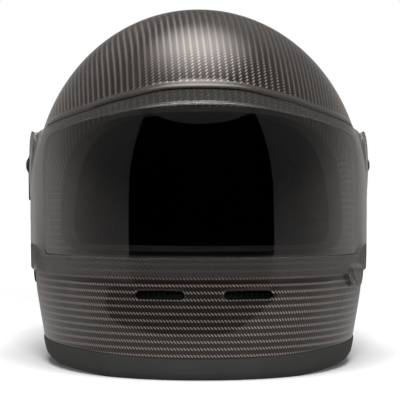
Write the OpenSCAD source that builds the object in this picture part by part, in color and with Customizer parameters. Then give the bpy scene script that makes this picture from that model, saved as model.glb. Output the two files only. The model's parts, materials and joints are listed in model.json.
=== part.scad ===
// Full face motorcycle helmet, standing on its rubber bottom edge.
// Millimetres. +Z is up, the face opening looks along -Y, the wearer's left is +X.
// The origin is the middle of the footprint, on the surface that the helmet stands on.

/* [Outer shell] */
// Width of the shell at its widest level
shell_w = 247; // [241:2:253]
// Height of the crown
crown_z = 264.5; // [260:0.5:270]
// Reach of the shell ahead of its widest section, at the chin
front_r = 172; // [168:1:176]
// Reach of the shell behind its widest section
back_r = 166; // [162:1:172]
// Level of the widest section
belt_z = 130; // [127:1:134]
// Level at which the chin bar reaches furthest forward
chin_z = 45; // [42:1:48]
// Level at which the back reaches furthest
nape_z = 140; // [134:1:146]
// Thickness of the laid-up shell
shell_t = 3; // [2.5:0.25:3.5]
// Level of the step on the chin bar, just under the visor
ledge_z = 65; // [63:0.5:66]
// How far the chin bar steps out under the visor
ledge_out = 2.2; // [1:0.2:2.6]
// Level of the shell's lower edge at the front and back
edge_front = 15.5; // [14:0.5:17]
// How much higher the lower edge is at the sides
edge_arch = 5; // [3:0.5:6]

/* [Eye opening and seal] */
// Level of the eye opening's lower edge
eye_low = 86; // [84:1:90]
// Level of the eye opening's upper edge at the front
eye_high = 186; // [183:1:187]
// Place of the eye opening's rear edge behind the pivot line, negative is ahead
eye_rear = -106; // [-110:1:-102]
// Width of the rubber seal around the eye opening
seal_w = 4; // [3:0.5:5]
// How far the seal stands proud inside the shell
seal_in = 3; // [2:0.5:4]

/* [Chin vents] */
// Length of each slot
slot_l = 32.4; // [28:0.2:34]
// Height of each slot
slot_h = 5.5; // [4:0.5:7]
// Distance from the middle to the near end of each slot
slot_near = 13; // [11:0.5:15]
// Level of the slots
slot_z = 57.5; // [55:0.5:59]
// Thickness of the wire mesh behind each slot
mesh_t = 0.8; // [0.6:0.1:1.2]

/* [Bottom trim] */
// Thickness of the rubber trim, from its outer to its inner face
trim_t = 9; // [8:0.5:10]
// Height of the trim's inner lip above the shell's edge
lip_h = 5; // [4:0.5:7]
// How far the trim's underside rises at the sides
trim_arch = 4.5; // [2:0.5:6]

/* [Liner] */
// Thickness of the crown foam
eps_t = 30; // [26:1:32]
// Thickness of the chin foam
chin_eps_t = 16; // [12:1:20]
// Thickness of the comfort liner
liner_t = 9; // [7:0.5:11]
// Thickness of each cheek pad
cheek_t = 36; // [30:1:38]
// Level of the cheek pads' lower faces
cheek_low = 34; // [33:1:38]
// Level of the cheek pads' upper faces
cheek_high = 108; // [104:1:110]
// Thickness of the neck roll
neck_t = 15; // [12:1:18]
// Gap between soft pieces and what carries them
seat_gap = 0.3; // [0.25:0.05:0.5]

/* [Visor] */
// Level of the pivot axis
pivot_z = 147; // [145:0.5:149]
// Thickness of the visor's sheet
visor_t = 1.9; // [1.6:0.1:2.2]
// Gap between the visor and the shell
visor_gap = 1.1; // [0.9:0.05:1.2]
// How far the front panel of the visor stands proud of its rim
panel_out = 2.6; // [2:0.2:3]
// Level of the visor's lower edge
visor_low = 69.7; // [69:0.2:72]
// Level of the visor's upper edge at the middle
visor_high = 195.4; // [193:0.2:197]
// Radius of the ears round the pivots
ear_r = 26; // [25:0.5:27]
// How far the visor opens
visor_open = 50; // [30:1:50]

/* [Visor pivots] */
// Radius of the hub that the ear turns on
hub_r = 5.5; // [5:0.1:6]
// Radial clearance of the ear on the hub
hub_clear = 0.08; // [0.05:0.01:0.1]
// Radius of the base plate
base_r = 19.8; // [19:0.2:21]
// Depth of the pocket in the shell that holds the base plate
pocket_d = 2.6; // [2.2:0.1:3]
// Radius at which the stop peg stands
peg_at = 14; // [13:0.5:15]
// Radius of the stop peg
peg_r = 1.6; // [1.4:0.1:1.8]
// Thickness of the metal washer on the ear
washer_t = 0.4; // [0.3:0.05:0.6]
// Thickness of the cover plate
cover_t = 1.3; // [1:0.1:1.6]
// Reach of the cover plate below the pivot
cover_l = 23.5; // [20:0.5:26]
// Radius of the pivot screw's domed head
head_r = 6; // [5:0.25:7]
// Height of the pivot screw's domed head
head_h = 2.4; // [2:0.1:3]

/* [Chin strap] */
// Width of the webbing
strap_w = 25; // [22:1:26]
// Thickness of the webbing
strap_t = 1.8; // [1.4:0.1:2]
// Place of the strap along the helmet, ahead of or behind the pivot line
strap_y = -8; // [-14:1:0]
// Level of the rivets that hold the strap
anchor_z = 64; // [60:1:68]
// Lowest level of the strap's middle line
strap_low = 5; // [4.5:0.5:8]
// Diameter of the buckle rings' wire
ring_d = 3.6; // [3:0.2:4]
// Level of the middle between the two buckle rings
ring_z = 14; // [13:0.5:16]
// Place of the buckle rings' bars across the helmet
ring_x = 40; // [36:1:44]

/* [Hidden] */

// Length well past every face of the helmet, for blocks that only cut
far = 400;

// Mould line: the widest section lies wide_y behind the middle of the footprint,
// and the visor's panel ends panel_fall short of the chin's reach
half_w = shell_w / 2;
panel_fall = 1.5;
wide_y = (front_r + visor_gap + visor_t + panel_out - panel_fall - back_r) / 2;
chin_drop = 131;
nape_drop = 220;
tuck_z = 62;
tuck_blend = 14;
tuck_slope = 0.185;
plan_n = 2.1;
around = 48;
rows = 18;
foot_z = 4;
layer_foot = 5;
arch_fade = 40;
ledge_rise = 12;

function root_of(s) = sqrt(max(0, s));
function tuck(z) = (tuck_z - z + sqrt(pow(tuck_z - z, 2) + pow(tuck_blend, 2))) / 2;
function side_r(z, off) = z > belt_z
    ? (half_w - off) * root_of(1 - pow((z - belt_z) / (crown_z - off - belt_z), 2))
    : half_w - off - tuck_slope * (tuck(z) - tuck(belt_z));
function front_reach(z, off) = (front_r - off) * (z > chin_z
    ? root_of(1 - pow((z - chin_z) / (crown_z - off - chin_z), 2.3))
    : root_of(1 - pow((chin_z - z) / chin_drop, 2)));
function back_reach(z, off) = (back_r - off) * (z > nape_z
    ? root_of(1 - pow((z - nape_z) / (crown_z - off - nape_z), 2.1))
    : root_of(1 - pow((nape_z - z) / nape_drop, 2)));

// Point of the mould line, moved inwards by off, at an angle of plan and a level
function skin_point(a, z, off) = let (
    c = cos(a),
    s = sin(a),
    reach = s < 0 ? front_reach(z, off) : back_reach(z, off)
) [
    side_r(z, off) * sign(c) * pow(abs(c), 2 / plan_n),
    wide_y + reach * sign(s) * pow(abs(s), 2 / plan_n),
    z
];
function skin_ring(z, off) = [for (i = [0:around - 1]) skin_point(360 * i / around, z, off)];

// The shell's lower edge is arched, and the rows above it level out
function edge_z(a) = edge_front + edge_arch * pow(cos(a), 2);
function row_z(a, z) = z + (edge_z(a) - edge_front) * max(0, 1 - (z - edge_front) / arch_fade);
function ramp(v, low, high) = max(0, min(1, (v - low) / (high - low)));

// The chin bar's step: full at the front, gone where the visor's lift tab lies
function ledge(a, z) = ledge_out * ramp(-sin(a), 0.66, 0.8)
    * ramp(z, edge_front, ledge_z - ledge_rise) * ramp(-z, -ledge_z - 1, -ledge_z);

// Solid of stacked rings, closed at the foot and at the pole
module loft(rings, foot, pole) {
    n = len(rings[0]);
    m = len(rings);
    sides = [for (j = [0:m - 2], i = [0:n - 1]) let (k = (i + 1) % n) each [
        [j * n + i, (j + 1) * n + i, (j + 1) * n + k],
        [j * n + i, (j + 1) * n + k, j * n + k]
    ]];
    caps = [for (i = [0:n - 1]) let (k = (i + 1) % n) each [
        [m * n, i, k],
        [m * n + 1, (m - 1) * n + k, (m - 1) * n + i]
    ]];
    polyhedron(concat([for (r = rings) each r], [foot, pole]), concat(sides, caps));
}

// Closed hoop of sections, each with its points in order round the section
module hoop(sections) {
    n = len(sections);
    m = len(sections[0]);
    faces = [for (i = [0:n - 1], p = [0:m - 1]) let (k = (i + 1) % n, q = (p + 1) % m) each [
        [i * m + p, k * m + p, k * m + q],
        [i * m + p, k * m + q, i * m + q]
    ]];
    polyhedron([for (s = sections) each s], faces);
}

// Everything inside the mould line moved inwards by off; all layers share their rows
module inside(off) {
    top = crown_z - off;
    levels = [for (i = [0:rows - 1]) foot_z + (top - foot_z) * sin(90 * i / rows)];
    loft([for (z = levels) skin_ring(z, off)], [0, wide_y, foot_z], [0, wide_y, top]);
}

// Block across the whole width, between two places along the helmet and two levels
module slab(rear_of, ahead_of, low, high) {
    translate([-far / 2, rear_of, low]) cube([far, ahead_of - rear_of, high - low]);
}

// Layer of the mould line between two offsets, open at the foot
module layer(outer, inner) {
    difference() {
        inside(outer);
        inside(inner);
        slab(-far / 2, far / 2, foot_z - 1, foot_z + layer_foot);
    }
}

// Flat shape drawn as seen from the side, with y to the right, cut through the width
module through_width(wide = far) {
    rotate([90, 0, 90]) linear_extrude(wide, center = true) children();
}

// The same, cut through the left half only
module through_left() {
    translate([far / 4 + 10, 0, 0]) through_width(far / 2 - 20) children();
}

// Free-form pieces meet as one faceted surface, at their own size
module moulded() {
    resize([0, 0, 0]) children();
}

module mirror_if(flip) {
    mirror([flip ? 1 : 0, 0, 0]) children();
}

// Places a child built round +X at the left or right pivot
module at_pivot(right) {
    mirror_if(right) translate([0, wide_y, pivot_z]) rotate([0, 90, 0]) children();
}

// Point of a circle round the pivot, as seen from the side
function round_pivot(r, a) = [wide_y + r * cos(a), pivot_z + r * sin(a)];

// Outlines seen from the side
eye_y = wide_y + eye_rear;
eye_outline = [
    [eye_y - 90, eye_low],
    [eye_y - 18, eye_low + 1],
    [eye_y - 6, eye_low + 7],
    [eye_y - 1, eye_low + 19],
    [eye_y, (eye_low + eye_high) / 2],
    [eye_y - 1, eye_high - 34],
    [eye_y - 6, eye_high - 18],
    [eye_y - 18, eye_high - 7],
    [eye_y - 34, eye_high - 2],
    [eye_y - 90, eye_high + 6]
];
rim_top = [[-155, 8], [-132, 0], [-126.5, -5], [-107.5, -13.2], [-93, -16.5], [-52.5, -23.2], [-26, -24.4]];
rim_low = [[-190, 0], [-66, 0], [-14.5, 2.8], [5.5, 10.3], [17.5, 25.3], [23.5, 48.3]];
visor_outline = concat(
    [for (p = rim_low) [wide_y + p[0], visor_low + p[1]]],
    [round_pivot(ear_r, -28), [wide_y, pivot_z], round_pivot(ear_r, 115)],
    [for (i = [len(rim_top) - 1:-1:0]) [wide_y + rim_top[i][0], visor_high + rim_top[i][1]]]
);
panel_top = [[-155, -5], [-141.5, -8.4], [-136.3, -11.2], [-126.7, -15.5], [-102, -21.8], [-75.5, -30.4]];
panel_rear = [[-84.5, 65.3], [-89.8, 50.3], [-92.5, 35.3], [-94, 12]];
panel_outline = concat(
    [[wide_y + rim_low[0][0], visor_low + panel_rear[3][1]]],
    [for (i = [len(panel_rear) - 1:-1:0]) [wide_y + panel_rear[i][0], visor_low + panel_rear[i][1]]],
    [for (i = [len(panel_top) - 1:-1:0]) [wide_y + panel_top[i][0], visor_high + panel_top[i][1]]]
);
tab_outline = [for (p = [[-103, 4], [-102.5, 0.8], [-95.5, -7], [-83.5, -11.5], [-76.5, -10.5], [-72, 4]])
    [wide_y + p[0], visor_low + p[1]]];

// Layers inside the shell, each one seat_gap further in than the last
eps_off = shell_t + seat_gap;
liner_off = eps_off + eps_t + seat_gap;
cheek_off = shell_t + strap_t + 6;
cheek_front = eye_y + 13;
cheek_rear = wide_y + 47;

// Levels that the pivot stack takes up along the axis
pocket_x = half_w - pocket_d;
base_t = 2.2;
ear_x = half_w + visor_gap;
fit_gap = 0.05;
washer_x = ear_x + visor_t + fit_gap;
cover_x = washer_x + washer_t + fit_gap;
head_x = cover_x + cover_t + fit_gap;
boss_t = 5;
boss_r = base_r + 3;
shank_r = 2;
screw_angles = [35, 145];
screw_r = 1.45;
screw_head_r = 3;
screw_seat = 1;

// Both slots with round ends, grown all round, from behind the chin bar forwards
mesh_border = 2.8;
module slot_cut(grow) {
    for (side = [-1, 1]) {
        hull() {
            for (x = [slot_near + slot_h / 2, slot_near + slot_l - slot_h / 2]) {
                translate([side * x, wide_y - 0.75 * front_r, slot_z]) rotate([90, 0, 0]) {
                    cylinder(h = front_r / 2, r = slot_h / 2 + grow, $fn = 24);
                }
            }
        }
    }
}

// Outside of the shell, with the chin bar's step
module shell_block() {
    levels = concat(
        [edge_front, (edge_front + ledge_z) / 3],
        [for (down = [2 * ledge_rise, ledge_rise, 0, -1]) ledge_z - down],
        [for (i = [4:rows - 1]) let (z = foot_z + (crown_z - foot_z) * sin(90 * i / rows)) if (z > ledge_z + 3) z]
    );
    rings = [for (z = levels) [for (i = [0:around - 1]) let (a = 360 * i / around, rz = row_z(a, z))
        skin_point(a, rz, -ledge(a, rz))]];
    loft(rings, [0, wide_y, edge_front], [0, wide_y, crown_z]);
}

// Laid-up carbon shell: a skin with the eye opening, two slots and the pivot pockets
module outer_shell() {
    color("#4a4542") difference() {
        moulded() difference() {
            union() {
                difference() {
                    shell_block();
                    inside(shell_t);
                }
                for (right = [false, true]) {
                    at_pivot(right) translate([0, 0, pocket_x - boss_t]) {
                        cylinder(h = boss_t + 0.5, r = boss_r, $fn = 48);
                    }
                }
            }
            through_width() polygon(eye_outline);
            slot_cut(0);
        }
        for (right = [false, true]) {
            at_pivot(right) translate([0, 0, pocket_x]) cylinder(h = 20, r = base_r + 0.2, $fn = 64);
            at_pivot(right) for (a = screw_angles) {
                rotate([0, 0, a]) translate([0, peg_at, pocket_x - 2 * boss_t]) {
                    cylinder(h = 3 * boss_t, r = screw_r + fit_gap, $fn = 24);
                }
            }
            at_rivet(right) translate([0, 0, -12]) cylinder(h = 24, r = rivet_r, $fn = 24);
        }
    }
}

// Rubber trim under the shell's edge, cut flat where it stands
module bottom_trim() {
    color("#2b2b2a") hoop([for (i = [0:around - 1]) let (
        a = 360 * i / around,
        top = edge_z(a),
        foot = trim_arch * ramp(pow(cos(a), 2), 0.35, 1)
    ) [for (p = [
        [-0.5, top - 0.3], [-0.9, (top + foot) / 2 + 2], [0.3, foot + 4], [1.7, foot + 1.5], [3.7, foot],
        [trim_t - 2.2, foot], [trim_t - 0.8, foot + 1.6], [trim_t - 0.3, top + lip_h - 1.5],
        [trim_t - 1.2, top + lip_h], [shell_t + 0.8, top + lip_h], [shell_t + 0.8, top - 0.3]
    ]) skin_point(a, p[1], p[0])]]);
}

// Rubber gasket that lines the cut edge of the eye opening
module eyeport_seal() {
    color("#1b1b1b") moulded() difference() {
        intersection() {
            layer(-0.2, shell_t + seal_in);
            through_width() offset(r = -seat_gap) polygon(eye_outline);
        }
        through_width() offset(r = -seal_w) polygon(eye_outline);
    }
}

// Energy absorbing foam over the crown, the temples and the nape
eps_nape = 46;
eps_low = cheek_high + 4;
eps_region = [
    [-far / 2, far], [far / 2, far], [far / 2, eps_nape], [cheek_rear + 32, eps_nape], [cheek_rear + 18, eps_low],
    [wide_y - 45, eps_low], [eye_y + 39, eps_low + 6], [eye_y + 21, (eye_low + eye_high) / 2 + 14],
    [eye_y + 6, eye_high - 10], [eye_y - 11, eye_high + 3], [-far / 2, eye_high + 5]
];
module crown_eps() {
    color("#26262a") moulded() difference() {
        intersection() {
            layer(eps_off, eps_off + eps_t);
            through_width() polygon(eps_region);
        }
        for (right = [false, true]) {
            at_pivot(right) translate([0, 0, pocket_x - boss_t - 1]) cylinder(h = 20, r = boss_r + 1, $fn = 48);
        }
    }
}

// Foam block inside the chin bar, hollowed behind the slots
module chin_eps() {
    color("#26262a") moulded() difference() {
        intersection() {
            layer(eps_off, eps_off + chin_eps_t);
            slab(-far, eye_y + 6, edge_front + 11.5, eye_low - seal_w);
        }
        slot_cut(mesh_border + 0.7);
    }
}

// Comfort liner: fabric over soft foam, buttoned into the crown foam
liner_inset = 6;
module crown_liner() {
    color("#202024") moulded() intersection() {
        layer(liner_off, liner_off + liner_t);
        through_width() offset(r = -liner_inset) polygon(eps_region);
    }
}

// Cheek pad between the shell's side and the jaw
cheek_side = [
    [cheek_front, cheek_low + 10], [cheek_front + 18, cheek_low], [cheek_rear - 22, cheek_low],
    [cheek_rear - 6, cheek_low + 10], [cheek_rear, (cheek_low + cheek_high) / 2], [cheek_rear - 6, cheek_high - 10],
    [cheek_rear - 18, cheek_high], [cheek_front + 14, cheek_high], [cheek_front + 2, cheek_high - 10]
];
module cheek_pad(right) {
    color("#232326") moulded() intersection() {
        layer(cheek_off, cheek_off + cheek_t);
        mirror_if(right) through_left() offset(r = 5) offset(r = -5) polygon(cheek_side);
    }
}

module cheek_pad_left() { cheek_pad(false); }
module cheek_pad_right() { cheek_pad(true); }

// Soft roll round the nape, behind the cheek pads and under the crown foam
roll_off = trim_t + 0.5;
roll_front = 10;
module neck_roll() {
    color("#232326") moulded() intersection() {
        layer(roll_off, roll_off + neck_t);
        slab(cheek_rear + roll_front, far, edge_front + 0.5, eps_nape - 4);
    }
}

// Press studs that hold the cheek pads off the shell
stud_r = 5;
stud_front = 30;
stud_rear = 18;
stud_low = 18;
stud_high = 16;
stud_ys = [cheek_front + stud_front, cheek_rear - stud_rear];
stud_zs = [cheek_low + stud_low, cheek_high - stud_high];
module pad_studs() {
    color("#3a3a3c") moulded() intersection() {
        layer(shell_t + seat_gap, cheek_off - seat_gap);
        for (side = [-1, 1], y = stud_ys, z = stud_zs) {
            translate([side * half_w / 2, y, z]) rotate([0, side * 90, 0]) cylinder(h = half_w, r = stud_r, $fn = 24);
        }
    }
}

// Wire mesh laid against the inside of the shell behind a slot
module vent_mesh(right) {
    color("#1a1a1a") moulded() intersection() {
        layer(shell_t + seat_gap, shell_t + seat_gap + mesh_t);
        mirror_if(right) translate([0, -far / 2, 0]) cube([far / 2, far / 2, far / 2]);
        slot_cut(mesh_border);
    }
}

module vent_mesh_left() { vent_mesh(false); }
module vent_mesh_right() { vent_mesh(true); }

// Base plate in the shell's pocket, with the hub and the stop peg
module pivot_base(right) {
    color("#202020") at_pivot(right) difference() {
        union() {
            translate([0, 0, pocket_x]) cylinder(h = base_t, r = base_r, $fn = 64);
            translate([0, 0, pocket_x]) cylinder(h = cover_x - fit_gap - pocket_x, r = hub_r, $fn = 48);
            translate([peg_at, 0, pocket_x]) cylinder(h = ear_x + visor_t - pocket_x, r = peg_r, $fn = 32);
        }
        translate([0, 0, pocket_x + 0.6]) cylinder(h = 20, r = shank_r, $fn = 32);
        for (a = screw_angles) {
            rotate([0, 0, a]) translate([0, peg_at, pocket_x - 1]) {
                cylinder(h = 20, r = screw_r + 3 * fit_gap, $fn = 24);
                translate([0, 0, 1 + screw_seat]) cylinder(h = 20, r = screw_head_r + 2 * fit_gap, $fn = 32);
            }
        }
    }
}

module pivot_base_left() { pivot_base(false); }
module pivot_base_right() { pivot_base(true); }

// Two screws a side hold the base plates on the shell
module base_screws() {
    color("silver") for (right = [false, true], a = screw_angles) {
        at_pivot(right) rotate([0, 0, a]) translate([0, peg_at, 0]) {
            translate([0, 0, pocket_x + screw_seat]) {
                cylinder(h = base_t - screw_seat - 0.1, r = screw_head_r, $fn = 32);
            }
            translate([0, 0, pocket_x - boss_t + 0.5]) cylinder(h = boss_t + screw_seat, r = screw_r, $fn = 24);
        }
    }
}

// Clear visor: a rim that follows the shell, a raised front panel and two flat ears
tab_out = 2;
ear_lip = 2;
module visor() {
    out = -visor_gap - visor_t;
    color([0.25, 0.25, 0.25, 0.6]) difference() {
        moulded() difference() {
            union() {
                difference() {
                    union() {
                        intersection() {
                            inside(out);
                            through_width() polygon(visor_outline);
                        }
                        intersection() {
                            inside(out - panel_out);
                            through_width() polygon(panel_outline);
                        }
                        intersection() {
                            inside(out - tab_out);
                            through_left() polygon(tab_outline);
                        }
                    }
                    inside(-visor_gap);
                    intersection() {
                        inside(-visor_gap - panel_out);
                        through_width() offset(delta = -visor_t) polygon(panel_outline);
                    }
                    for (right = [false, true]) {
                        at_pivot(right) translate([0, 0, ear_x - 20]) cylinder(h = 20, r = ear_r - ear_lip, $fn = 64);
                    }
                }
                for (right = [false, true]) {
                    at_pivot(right) translate([0, 0, ear_x]) cylinder(h = visor_t, r = ear_r, $fn = 64);
                    ear_rim(right);
                }
            }
        }
        for (right = [false, true]) {
            at_pivot(right) translate([0, 0, ear_x - 5]) cylinder(h = 20, r = hub_r + hub_clear, $fn = 64);
            at_pivot(right) stop_slot();
        }
    }
}

// Rim that joins the flat ear to the rest of the visor, ahead of and below the pivot
rim_deep = 8;
module ear_rim(right) {
    difference() {
        intersection() {
            at_pivot(right) translate([0, 0, ear_x - rim_deep]) cylinder(h = rim_deep + visor_t, r = ear_r, $fn = 64);
            through_width() polygon(concat([[wide_y, pivot_z]],
                [for (a = [115:15:280]) round_pivot(ear_r * 1.3, a)]));
        }
        at_pivot(right) translate([0, 0, ear_x - 20]) cylinder(h = 20 + visor_t, r = ear_r - ear_lip, $fn = 64);
        inside(-visor_gap);
    }
}

// Curved slot in the ear that the stop peg runs in
module stop_slot() {
    w = peg_r + 0.15;
    translate([0, 0, ear_x - 5]) {
        rotate_extrude(angle = visor_open + 0.6, $fn = 96) {
            translate([peg_at - w, 0]) square([2 * w, 20]);
        }
        for (a = [0, visor_open + 0.6]) {
            rotate([0, 0, a]) translate([peg_at, 0, 0]) cylinder(h = 20, r = w, $fn = 32);
        }
    }
}

// Steel washer between the ear and the cover
module pivot_washer(right) {
    color("silver") at_pivot(right) translate([0, 0, washer_x]) difference() {
        cylinder(h = washer_t, r = hub_r + 3, $fn = 48);
        translate([0, 0, -1]) cylinder(h = washer_t + 2, r = hub_r + fit_gap, $fn = 48);
    }
}

module pivot_washer_left() { pivot_washer(false); }
module pivot_washer_right() { pivot_washer(true); }

// Cover plate over the ear, with a tail that hides the stop slot
module pivot_cover(right) {
    color("#181818") at_pivot(right) translate([0, 0, cover_x]) difference() {
        linear_extrude(cover_t) hull() {
            circle(r = head_r + 1.5, $fn = 48);
            translate([cover_l, 0]) circle(r = 3, $fn = 32);
        }
        translate([0, 0, -1]) cylinder(h = cover_t + 2, r = shank_r + fit_gap, $fn = 32);
    }
}

module pivot_cover_left() { pivot_cover(false); }
module pivot_cover_right() { pivot_cover(true); }

// Domed screw that clamps the cover on the hub
module pivot_screw(right) {
    ball = (pow(head_r, 2) + pow(head_h, 2)) / (2 * head_h);
    color("#101010") at_pivot(right) {
        translate([0, 0, head_x]) intersection() {
            translate([0, 0, head_h - ball]) sphere(r = ball, $fn = 96);
            cylinder(h = head_h + 1, r = head_r, $fn = 48);
        }
        translate([0, 0, pocket_x + 1]) cylinder(h = head_x - pocket_x - 0.9, r = shank_r - fit_gap, $fn = 32);
    }
}

module pivot_screw_left() { pivot_screw(false); }
module pivot_screw_right() { pivot_screw(true); }

// Strap route seen from the front, from the rivet down to the trim and under the chin
rivet_r = 2.4;
rivet_head_r = 5.2;
wall_gap = 1.1;
rivet_inset = shell_t + wall_gap + strap_t / 2;
plate_t = 1.2;
plate_l = 18;
plate_out = shell_t + wall_gap + strap_t + 0.6 + plate_t;
lean = atan((side_r(anchor_z + 10, 0) - side_r(anchor_z - 20, 0)) / 30);
anchor_x = side_r(anchor_z, 0);
lip_x = side_r(edge_front + edge_arch, trim_t) - strap_t;
function drop_path(x0, z0) = [
    for (t = [0:0.1:1]) let (u = 1 - t) [
        u * u * (lip_x - 1) + 2 * u * t * (lip_x - 12) + t * t * x0,
        u * u * 24 + 2 * u * t * (z0 + 1) + t * t * z0
    ]
];
wall_path = [for (z = [anchor_z + 11, anchor_z, anchor_z - 16, 36]) [side_r(z, 0) - rivet_inset, z]];
left_run = drop_path(ring_x + 3, ring_z);
right_run = [for (p = drop_path(12, strap_low)) [-p[0], p[1]]];
right_wall = [for (p = wall_path) [-p[0], p[1]]];

// Polygon of even thickness along a path
function unit(v) = v / norm(v);
function side_of(path, i) = let (
    a = path[max(0, i - 1)],
    b = path[min(len(path) - 1, i + 1)],
    d = unit(b - a)
) [-d[1], d[0]];
function ribbon(path, t) = concat(
    [for (i = [0:len(path) - 1]) path[i] + side_of(path, i) * t / 2],
    [for (i = [len(path) - 1:-1:0]) path[i] - side_of(path, i) * t / 2]
);
module webbing(path, w, t) {
    translate([0, wide_y + strap_y + w / 2, 0]) rotate([90, 0, 0]) linear_extrude(w) polygon(ribbon(path, t));
}

// Places a child at a strap rivet, with its axis square to the shell's wall
module at_rivet(right) {
    mirror_if(right) translate([anchor_x, wide_y + strap_y, anchor_z]) rotate([0, 90 + lean, 0]) children();
}

// Buckle side of the strap, sewn round the bars of both rings
ring_gap = ring_d / 2 + 0.8;
loop_r = ring_d / 2 + 0.35;
module strap_left() {
    color("#1c1c1c") difference() {
        union() {
            webbing(concat(wall_path, left_run), strap_w, strap_t);
            loop_block(loop_r + strap_t);
        }
        loop_block(loop_r, 1);
        at_rivet(false) translate([0, 0, -12]) cylinder(h = 24, r = rivet_r, $fn = 24);
    }
}

// Block with round top and bottom edges about the two rings' bars
module loop_block(r, past = 0) {
    translate([ring_x, wide_y + strap_y + strap_w / 2 + past, ring_z]) rotate([90, 0, 0]) {
        linear_extrude(strap_w + 2 * past) {
            for (side = [-1, 1]) {
                translate([0, side * ring_gap]) circle(r = r, $fn = 32);
            }
            translate([-r, -ring_gap]) square([2 * r, 2 * ring_gap]);
        }
    }
}

// Long side of the strap: up through both rings, back over itself and snapped down
thread = ring_x - 8;
tail_lift = strap_t + 0.5;
turn_path = [
    [-2, strap_low], [thread - 10, strap_low], [thread - 5, strap_low + 0.3],
    [thread - 1.6, strap_low + 2.4], [thread, strap_low + 6], [thread, ring_z + 5],
    [thread - 1.2, ring_z + 7], [thread - 4, ring_z + 8], [thread - 9, ring_z + 8],
    [thread - 15, ring_z + 5.5], [thread - 25, strap_low + tail_lift + 3.5],
    [thread - 35, strap_low + tail_lift + 0.8]
];
tail_run = [for (i = [10:-1:6]) right_run[i] + side_of(right_run, i) * tail_lift];
module strap_right() {
    color("#1c1c1c") difference() {
        webbing(concat(right_wall, right_run, turn_path, tail_run), strap_w, strap_t);
        at_rivet(true) translate([0, 0, -12]) cylinder(h = 24, r = rivet_r, $fn = 24);
        at_snap() translate([0, 0, -8]) cylinder(h = 20, r = post_r + 0.2, $fn = 24);
    }
}

// Places a child where the tail snaps down, with its axis square to the webbing
post_r = 2;
cap_r = 6.4;
cap_h = 2.6;
cap_z = tail_lift + strap_t / 2 + 0.1;
module at_snap() {
    spot = right_run[8];
    up = side_of(right_run, 8);
    translate([spot[0], wide_y + strap_y, spot[1]]) rotate([0, atan2(up[0], up[1]), 0]) children();
}

// Stud half of the snap, pressed through both layers of webbing
module snap_stud() {
    color("#2a2a2a") at_snap() {
        translate([0, 0, -strap_t / 2 - 1.1]) cylinder(h = 1, r = cap_r - 1.4, $fn = 48);
        translate([0, 0, -strap_t / 2 - 0.2]) cylinder(h = cap_z + strap_t / 2 + 1.2, r = post_r, $fn = 32);
    }
}

// Cap half of the snap, on the tail
module snap_socket() {
    color("#2a2a2a") at_snap() translate([0, 0, cap_z]) difference() {
        cylinder(h = cap_h, r1 = cap_r, r2 = cap_r - 1.2, $fn = 48);
        translate([0, 0, -1]) cylinder(h = cap_h, r = post_r + fit_gap, $fn = 32);
    }
}

// Padded sleeve round the strap below each cheek pad
sleeve_wider = 8;
sleeve_thicker = 5;
sleeve_bore_w = 1;
sleeve_bore_t = 0.8;
module strap_sleeve(right) {
    run = right ? right_run : left_run;
    color("#26262a") difference() {
        webbing([for (i = [2:5]) run[i]], strap_w + sleeve_wider, strap_t + sleeve_thicker);
        webbing([for (i = [0:8]) run[i]], strap_w + sleeve_bore_w, strap_t + sleeve_bore_t);
    }
}

module strap_sleeve_left() { strap_sleeve(false); }
module strap_sleeve_right() { strap_sleeve(true); }

// Steel plate that clamps the webbing on the shell's inside
module anchor_plate(right) {
    color("silver") at_rivet(right) translate([0, 0, -plate_out]) difference() {
        translate([-plate_l / 2, 1.5 - strap_w / 2, 0]) cube([plate_l, strap_w - 3, plate_t]);
        translate([0, 0, -1]) cylinder(h = 5, r = rivet_r, $fn = 24);
    }
}

module anchor_plate_left() { anchor_plate(false); }
module anchor_plate_right() { anchor_plate(true); }

// Rivets through the shell, the webbing and the plates
module strap_rivets() {
    color("silver") for (right = [false, true]) {
        at_rivet(right) {
            translate([0, 0, 0.35]) cylinder(h = 0.9, r1 = rivet_head_r, r2 = rivet_head_r - 1.4, $fn = 48);
            translate([0, 0, -plate_out - 0.2]) cylinder(h = plate_out + 0.7, r = rivet_r - fit_gap, $fn = 24);
            translate([0, 0, -plate_out - 1]) cylinder(h = 0.9, r = rivet_head_r - 1.2, $fn = 32);
        }
    }
}

// D shaped buckle ring: a straight bar, two legs and a far side with round corners
bar_l = strap_w + 6;
ring_deep = 15;
corner_r = 7;
module buckle_ring(level) {
    color("silver") translate([ring_x, wide_y + strap_y, level]) {
        translate([0, bar_l / 2, 0]) rotate([90, 0, 0]) cylinder(h = bar_l, d = ring_d, $fn = 32);
        translate([-ring_deep, bar_l / 2 - corner_r, 0]) rotate([90, 0, 0]) {
            cylinder(h = bar_l - 2 * corner_r, d = ring_d, $fn = 32);
        }
        for (side = [-1, 1]) {
            translate([0, side * bar_l / 2, 0]) sphere(d = ring_d, $fn = 32);
            translate([corner_r - ring_deep, side * bar_l / 2, 0]) rotate([0, 90, 0]) {
                cylinder(h = ring_deep - corner_r, d = ring_d, $fn = 32);
            }
            translate([corner_r - ring_deep, side * (bar_l / 2 - corner_r), 0]) rotate([0, 0, side > 0 ? 90 : 180]) {
                rotate_extrude(angle = 90, $fn = 64) translate([corner_r, 0]) circle(d = ring_d, $fn = 24);
            }
        }
    }
}

module ring_upper() { buckle_ring(ring_z + ring_gap); }
module ring_lower() { buckle_ring(ring_z - ring_gap); }

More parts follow.
